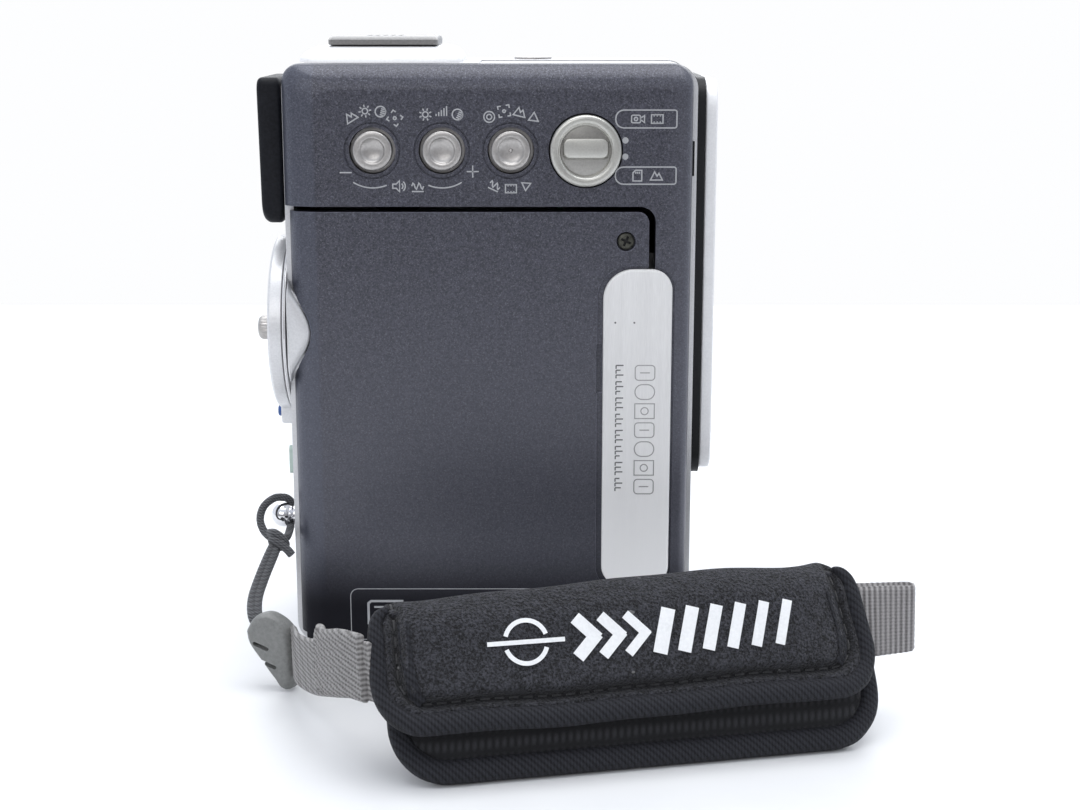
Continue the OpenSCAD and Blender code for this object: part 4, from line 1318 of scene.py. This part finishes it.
# ---------------------------------------------------------------- strap pad: back and fold
back = pad_slab("pad_back_layer",
                round_rect(BACK_X0 + 0.4, BACK_X1 - 0.6, BACK_Z0 + 0.2, BACK_Z1,
                           (2.5, 2.5, 8.2, 8.2), 10),
                0.7, 3.4, voxel=1.3, edge=0.9)
inflate(back, pressure=3.0, cap=0.7)
for v in back.data.vertices:
    x, y, z = v.co.x / MM, v.co.y / MM, v.co.z / MM
    y -= 0.3 * noise.noise(Vector((x * 0.07, z * 0.1, 5.0)))
    v.co.y = (y + lean_back(z)) * MM
back.data.materials.append(MATS["pad_lining"])
shade(back, 180)
back_tape = binding(
    "pad_back_binding",
    u_path(BACK_X0 + 0.1, BACK_X1 - 0.3, BACK_Z0 - 0.1, BACK_Z1 - 1.0, 8.5, hook=3.0),
    2.2, 1.9, lambda x, z: (x, 1.9 + lean_back(z), z))


def fold_section(i, run, total):
    taper = 0.75 + 0.25 * min(1, min(run, total - run) / 4)
    angles = [2 * math.pi * k / 18 for k in range(18)]
    return [(4.0 * math.cos(a) * taper, 1.15 * math.sin(a) * taper) for a in angles]


# a rolled fold joins the two layers along the top
fold_path = []
for i in range(111):
    x, z = warp(3.0 + 0.8 * i, 29.2)
    fold_path.append(Vector((x, 1.0, z - 1.5)))
fold = sweep("pad_top_fold", fold_path, fold_section, "pad_knit", smooth=180)


# ---------------------------------------------------------------- strap pad: stripes
def on_flap(u, v, height):
    point = flap_hit(u, v)
    if point is None:
        point = Vector((u, -5, v))
    return point.x, point.y - 0.10 - max(height, 0), point.z


def dense(points):
    """An open line cut into steps of about 0.4, so that it follows the surface."""
    line = []
    for start, end in zip(points, points[1:]):
        a, b = Vector(start), Vector(end)
        count = max(1, int((b - a).length / 0.4))
        line += [tuple(a + (b - a) * (k / count)) for k in range(count)]
    return line + [points[-1]]


# three chevrons, six slanted bars, then a thin line through two arcs
motif_lines = []
for k, width in enumerate((2.3, 2.0, 1.7)):
    x = 37.6 + k * 4.6
    motif_lines.append((dense([(x, 19.8), (x + 3.9, 23.8)]), False, width))
    motif_lines.append((dense([(x, 26.8), (x + 3.9, 22.8)]), False, width))
for k in range(6):
    x = 52.5 + k * 4.5
    motif_lines.append((dense([(x, 19.4), (x + 2.4, 27.3)]), False, 2.6 - 0.16 * k))
for line in ([(21.5, 23.2), (35.5, 23.2)], arc(28.5, 23.2, 3.8, 18, 162, 24),
             arc(28.5, 23.2, 3.8, 198, 342, 24)):
    motif_lines.append((dense(line), False, 0.8))
band_lines = opened(dense([(7.2, 28.4), (7.3, 22.0), (8.2, 15.6), (9.6, 14.0)]),
                    dense([(86.2, 28.6), (87.4, 22.0), (87.2, 16.6), (86.2, 15.2)]))
bands = strokes("pad_end_bands", band_lines, 1.9,
                lambda u, v, height: on_flap(u, v, height + 0.05), "binding_tape", 0.16)
motif = strokes("pad_stripe_motif", motif_lines, 1.0, on_flap, "white_transfer", 0.13)

REPLACED = {flap: ["strap_pad_front"], back: ["strap_pad_back"]}
for piece in (flap, flap_tape, stitches, back, back_tape, fold, bands, motif):
    piece.data.transform(PAD_PLACE)
    attach(piece, "body", "pad_fabric", *REPLACED.get(piece, []))


# ---------------------------------------------------------------- webbing
def ribbon_section(half_height, half_thick, rib, rib_count, ripple):
    """Flat band: ribs run along its length; ripple(run, across) adds the weave's relief."""
    def section(i, run, total):
        points = []
        for side in (1, -1):
            for k in range(45):
                across = side * (-1 + 2 * k / 44)
                thick = (half_thick * min(1.0, (1 - abs(across)) * 9 + 0.25)
                         + rib * math.cos(across * rib_count * math.pi)
                         + ripple(run, across))
                points.append((side * thick, across * half_height))
        return points
    return section


def left_ripple(run, across):
    return 0.09 * math.sin(2 * math.pi * run / 0.9 + across * 17.3)


def checked_ripple(height, period, columns, shift):
    """Ripples whose phase shifts by a fixed angle in every other column."""
    def ripple(run, across):
        phase = 0 if int((across + 1) * columns) % 2 else shift
        return height * math.sin(2 * math.pi * run / period + phase)
    return ripple


left_path = catmull([(-39.2, -48.6, 8.3), (-37.5, -54.5, 8.8), (-33.6, -63.5, 10.8),
                     (-28.8, -73.5, 14.4), (-23.9, -83.5, 18.2), (-19.6, -89.0, 19.6)], 40)
left = sweep("strap_webbing_left", left_path,
             ribbon_section(5.4, 0.5, 0.07, 11, left_ripple), "webbing_weave", smooth=60)
attach(left, "body", "webbing", "strap_webbing")

# folded-back end of the webbing, with a bowed, rolled edge
FOLD_HALF = 6.1
FOLD_START = Vector((-31.0, -70.0, 14.8))
fold_path = catmull([FOLD_START, (-29.2, -74.4, 15.8), (-25.6, -81.4, 18.4),
                     (-21.4, -88.2, 20.0)], 40)


def fold_bow(run, up):
    return -2.6 * (1 - min(1.0, abs(up) / FOLD_HALF) ** 2) * max(0.0, 1 - run / 9.0)


folded = sweep("strap_webbing_fold", fold_path,
               ribbon_section(FOLD_HALF, 0.8, 0.10, 8, checked_ripple(0.13, 1.0, 6, math.pi)),
               "webbing_weave", smooth=60, along=fold_bow)
attach(folded, "body", "webbing")
ahead = (fold_path[1] - fold_path[0]).normalized()
edge_path = [FOLD_START + Vector((0.0, 0.0, FOLD_HALF * q)) + ahead * (-2.7 * (1 - q * q))
             for q in (-1, -0.75, -0.5, -0.25, 0, 0.25, 0.5, 0.75, 1)]
edge = sweep("strap_webbing_fold_edge", catmull(edge_path, 12),
             cord_section(0.95, rib=0.08, period=0.8, helix=2), "webbing_weave", up=(0, 1, 0))
attach(edge, "body", "webbing")

# flat loop at the pad's other end: out along one side, round the end and back
LOOP_START = Vector((66.5, -66.2, 20.7))
LOOP_RUN, LOOP_RADIUS = 12.0, 1.2
loop_plan = [(i / 60 * LOOP_RUN, -1.15 + 0.15 * math.sin(i / 60 * 3.1)) for i in range(61)]
for i in range(1, 20):
    angle = math.radians(-90 + 180 * i / 20)
    loop_plan.append((LOOP_RUN + LOOP_RADIUS * math.cos(angle), 1.15 * math.sin(angle)))
loop_plan += [((1 - i / 60) * LOOP_RUN, 1.15 - 0.15 * math.sin(i / 60 * 3.1))
              for i in range(61)]
cosine, sine = polar(1, 10)
loop_path = [LOOP_START + Vector((a * cosine - b * sine, a * sine + b * cosine, 0.02 * a))
             for a, b in loop_plan]
right = sweep("strap_webbing_right", loop_path,
              ribbon_section(6.2, 0.42, 0.0, 1, checked_ripple(0.10, 1.15, 11, 0.9)),
              "webbing_weave_end", smooth=60)
# lean the loop with height, less towards its far end (metres)
for v in right.data.vertices:
    v.co.y += (v.co.z - 0.0207) * 0.44 * max(0.3, min(1.0, 1 - (v.co.x - 0.0665) / 0.018))
attach(right, "body", "webbing")

# ---------------------------------------------------------------- buckle
# Pointed shield outline, as (x, z).
BUCKLE_OUTLINE = [
    (-48.6, 12.2), (-47.2, 14.6), (-45.2, 15.8), (-43.2, 15.9), (-40.6, 14.6), (-38.9, 12.6),
    (-38.2, 9.0), (-37.9, 4.6), (-38.1, 1.7), (-39.0, 0.5), (-40.6, 0.7), (-42.6, 2.4),
    (-45.4, 6.0), (-48.0, 9.6)]
# Inset, y, pull of the +X side towards -X.
BUCKLE_STATIONS = (
    (1.3, -49.5, 2.3), (0.6, -49.4, 2.0), (0.2, -49.0, 1.7), (0.0, -48.2, 1.3),
    (0.0, -47.2, 0.7), (0.2, -46.3, 0.1), (0.9, -45.8, 0.3))
shield = [tuple(p) for p in catmull(BUCKLE_OUTLINE + BUCKLE_OUTLINE[:1], 5)[:-1]]
middle_x = sum(p[0] for p in shield) / len(shield)
middle_z = sum(p[1] for p in shield) / len(shield)
rings = [[(x - (x - middle_x) * s / 5.6 - pull * max(0.0, (x - middle_x) / 5.0), y,
           z - (z - middle_z) * s / 7.8) for x, z in shield] for s, y, pull in BUCKLE_STATIONS]
buckle = loft("strap_buckle_shield", rings, "buckle_plastic", 40)
slit = round_rect(-1.75, 1.75, -0.42, 0.42, 0.4, 5)
boolean(buckle, [turned_to(prism(slit, -51, -44), x, z, 20)
                 for x, z in ((-45.4, 9.3), (-43.9, 5.6))])
clean(buckle)
pivot = Matrix.Translation((-43 * MM, -47.6 * MM, 0))
buckle.data.transform(pivot @ Matrix.Rotation(math.radians(-14), 4, "Z") @ pivot.inverted())
soften(buckle, 0.22, 2)
attach(buckle, "body", "grey_plastic", "strap_buckle")

# ---------------------------------------------------------------- cord
# A loop round the post's neck, a knot with a tail, and a doubled run to the buckle.
LOOP_KNOTS = [
    (-44.7, -17.6, 31.2), (-46.7, -18.9, 31.4), (-48.7, -20.6, 30.1), (-49.4, -22.0, 27.8),
    (-48.6, -23.2, 25.6), (-46.9, -24.6, 24.4), (-45.0, -25.6, 24.0), (-43.7, -24.9, 24.4),
    (-43.45, -22.8, 24.6), (-43.45, -20.4, 25.0), (-43.45, -18.0, 25.7), (-43.4, -16.4, 27.2),
    (-43.4, -16.5, 29.0), (-43.8, -16.9, 30.4), (-44.7, -17.6, 31.2)]
TIE_KNOTS = [
    (-47.0, -25.2, 25.6), (-45.6, -26.8, 26.0), (-44.0, -27.0, 24.8), (-43.6, -26.2, 23.2),
    (-44.8, -25.0, 22.5), (-46.2, -25.4, 23.4), (-46.2, -27.0, 24.6), (-44.6, -27.9, 24.2),
    (-42.9, -28.4, 22.9), (-42.0, -28.9, 22.0)]
attach(sweep("cord_loop", catmull(LOOP_KNOTS, 14), cord_section(0.82), "cord_braid",
             up=(0, 1, 0.2)), "body", "cord", "strap_cord")
attach(sweep("cord_knot", catmull(TIE_KNOTS, 14), cord_section(0.88), "cord_braid",
             up=(0.3, 1, 0.2)), "body", "cord")
# offset of each strand in x and y, and its twist
for i, (dx, dy, helix) in enumerate(((-0.62, 0.0, -3), (0.62, 0.25, 3))):
    run_path = catmull([
        (-45.4 + dx * 0.7, -26.0 + dy, 24.0), (-46.2 + dx, -29.6 + dy, 22.0),
        (-47.4 + dx, -35.4 + dy, 18.8), (-47.9 + dx, -40.8 + dy, 16.4),
        (-47.2 + dx, -45.4 + dy, 14.4), (-45.6 + dx, -47.4 + dy, 12.4)], 26)
    strand = sweep("cord_run_%d" % i, run_path, cord_section(0.88, helix=helix), "cord_braid",
                   up=(0, 0.4, 1))
    attach(strand, "body", "cord")

# ---------------------------------------------------------------- studio
make_object(
    "studio_floor", [(-1500, -560, 0), (1500, -560, 0), (1500, 420, 0), (-1500, 420, 0)],
    [(0, 1, 2, 3)], "floor_white")


def add_to_scene(name, data, location, degrees):
    obj = bpy.data.objects.new(name, data)
    obj.location = [value * MM for value in location]
    obj.rotation_euler = [math.radians(angle) for angle in degrees]
    bpy.context.scene.collection.objects.link(obj)
    return obj


def area_light(name, location, degrees, size, power):
    light = bpy.data.lights.new(name, "AREA")
    light.shape = "RECTANGLE"
    light.size, light.size_y = size[0] * MM, size[1] * MM
    light.energy = power
    light.color = (1, 1, 1)
    add_to_scene(name, light, location, degrees)


area_light("key_top", location=(60, -40, 900), degrees=(0, 0, 0), size=(900, 700), power=6.0)
area_light("fill_front", location=(-300, -900, 520), degrees=(62, 0, -16), size=(700, 400),
           power=1.6)
area_light("rim_back", location=(0, 700, 500), degrees=(-60, 0, 0), size=(900, 500), power=3.0)


def studio_world():
    """Bright overhead and behind, dim low towards the camera; seen directly it is white."""
    world = bpy.data.worlds.new("studio")
    bpy.context.scene.world = world
    world.use_nodes = True
    nodes = Nodes(world.node_tree)
    black, white = (0, 0, 0), (1, 1, 1)
    axes = nodes.split(nodes.add("TexCoord", {}).outputs["Generated"])
    to_camera = nodes.ramp(nodes.calc("MULTIPLY", axes[1], -1.0), low=0.05, high=0.75,
                           dark=black, light=white)
    below = nodes.ramp(axes[2], low=0.25, high=0.85, dark=white, light=black)
    dim = nodes.calc("MULTIPLY", to_camera, below)
    room = nodes.blend(dim, (0.86, 0.91, 1.0), (0.33, 0.33, 0.35))
    seen = nodes.add("LightPath", {}).outputs["Is Camera Ray"]
    colour = nodes.blend(seen, room, (0.985, 0.99, 1.0))
    nodes.feed(nodes.tree.nodes["Background"], {"Color": colour, "Strength": 1.0})


studio_world()
camera = bpy.data.cameras.new("photo_camera")
camera.lens = 58.333
camera.sensor_width = 36.0
camera.clip_start, camera.clip_end = 0.01, 30
bpy.context.scene.camera = add_to_scene(
    "photo_camera", camera, location=(9.5, -376.2, 131.7), degrees=(90 - 12.64, 0, 0))
bpy.context.scene.view_settings.view_transform = "Standard"
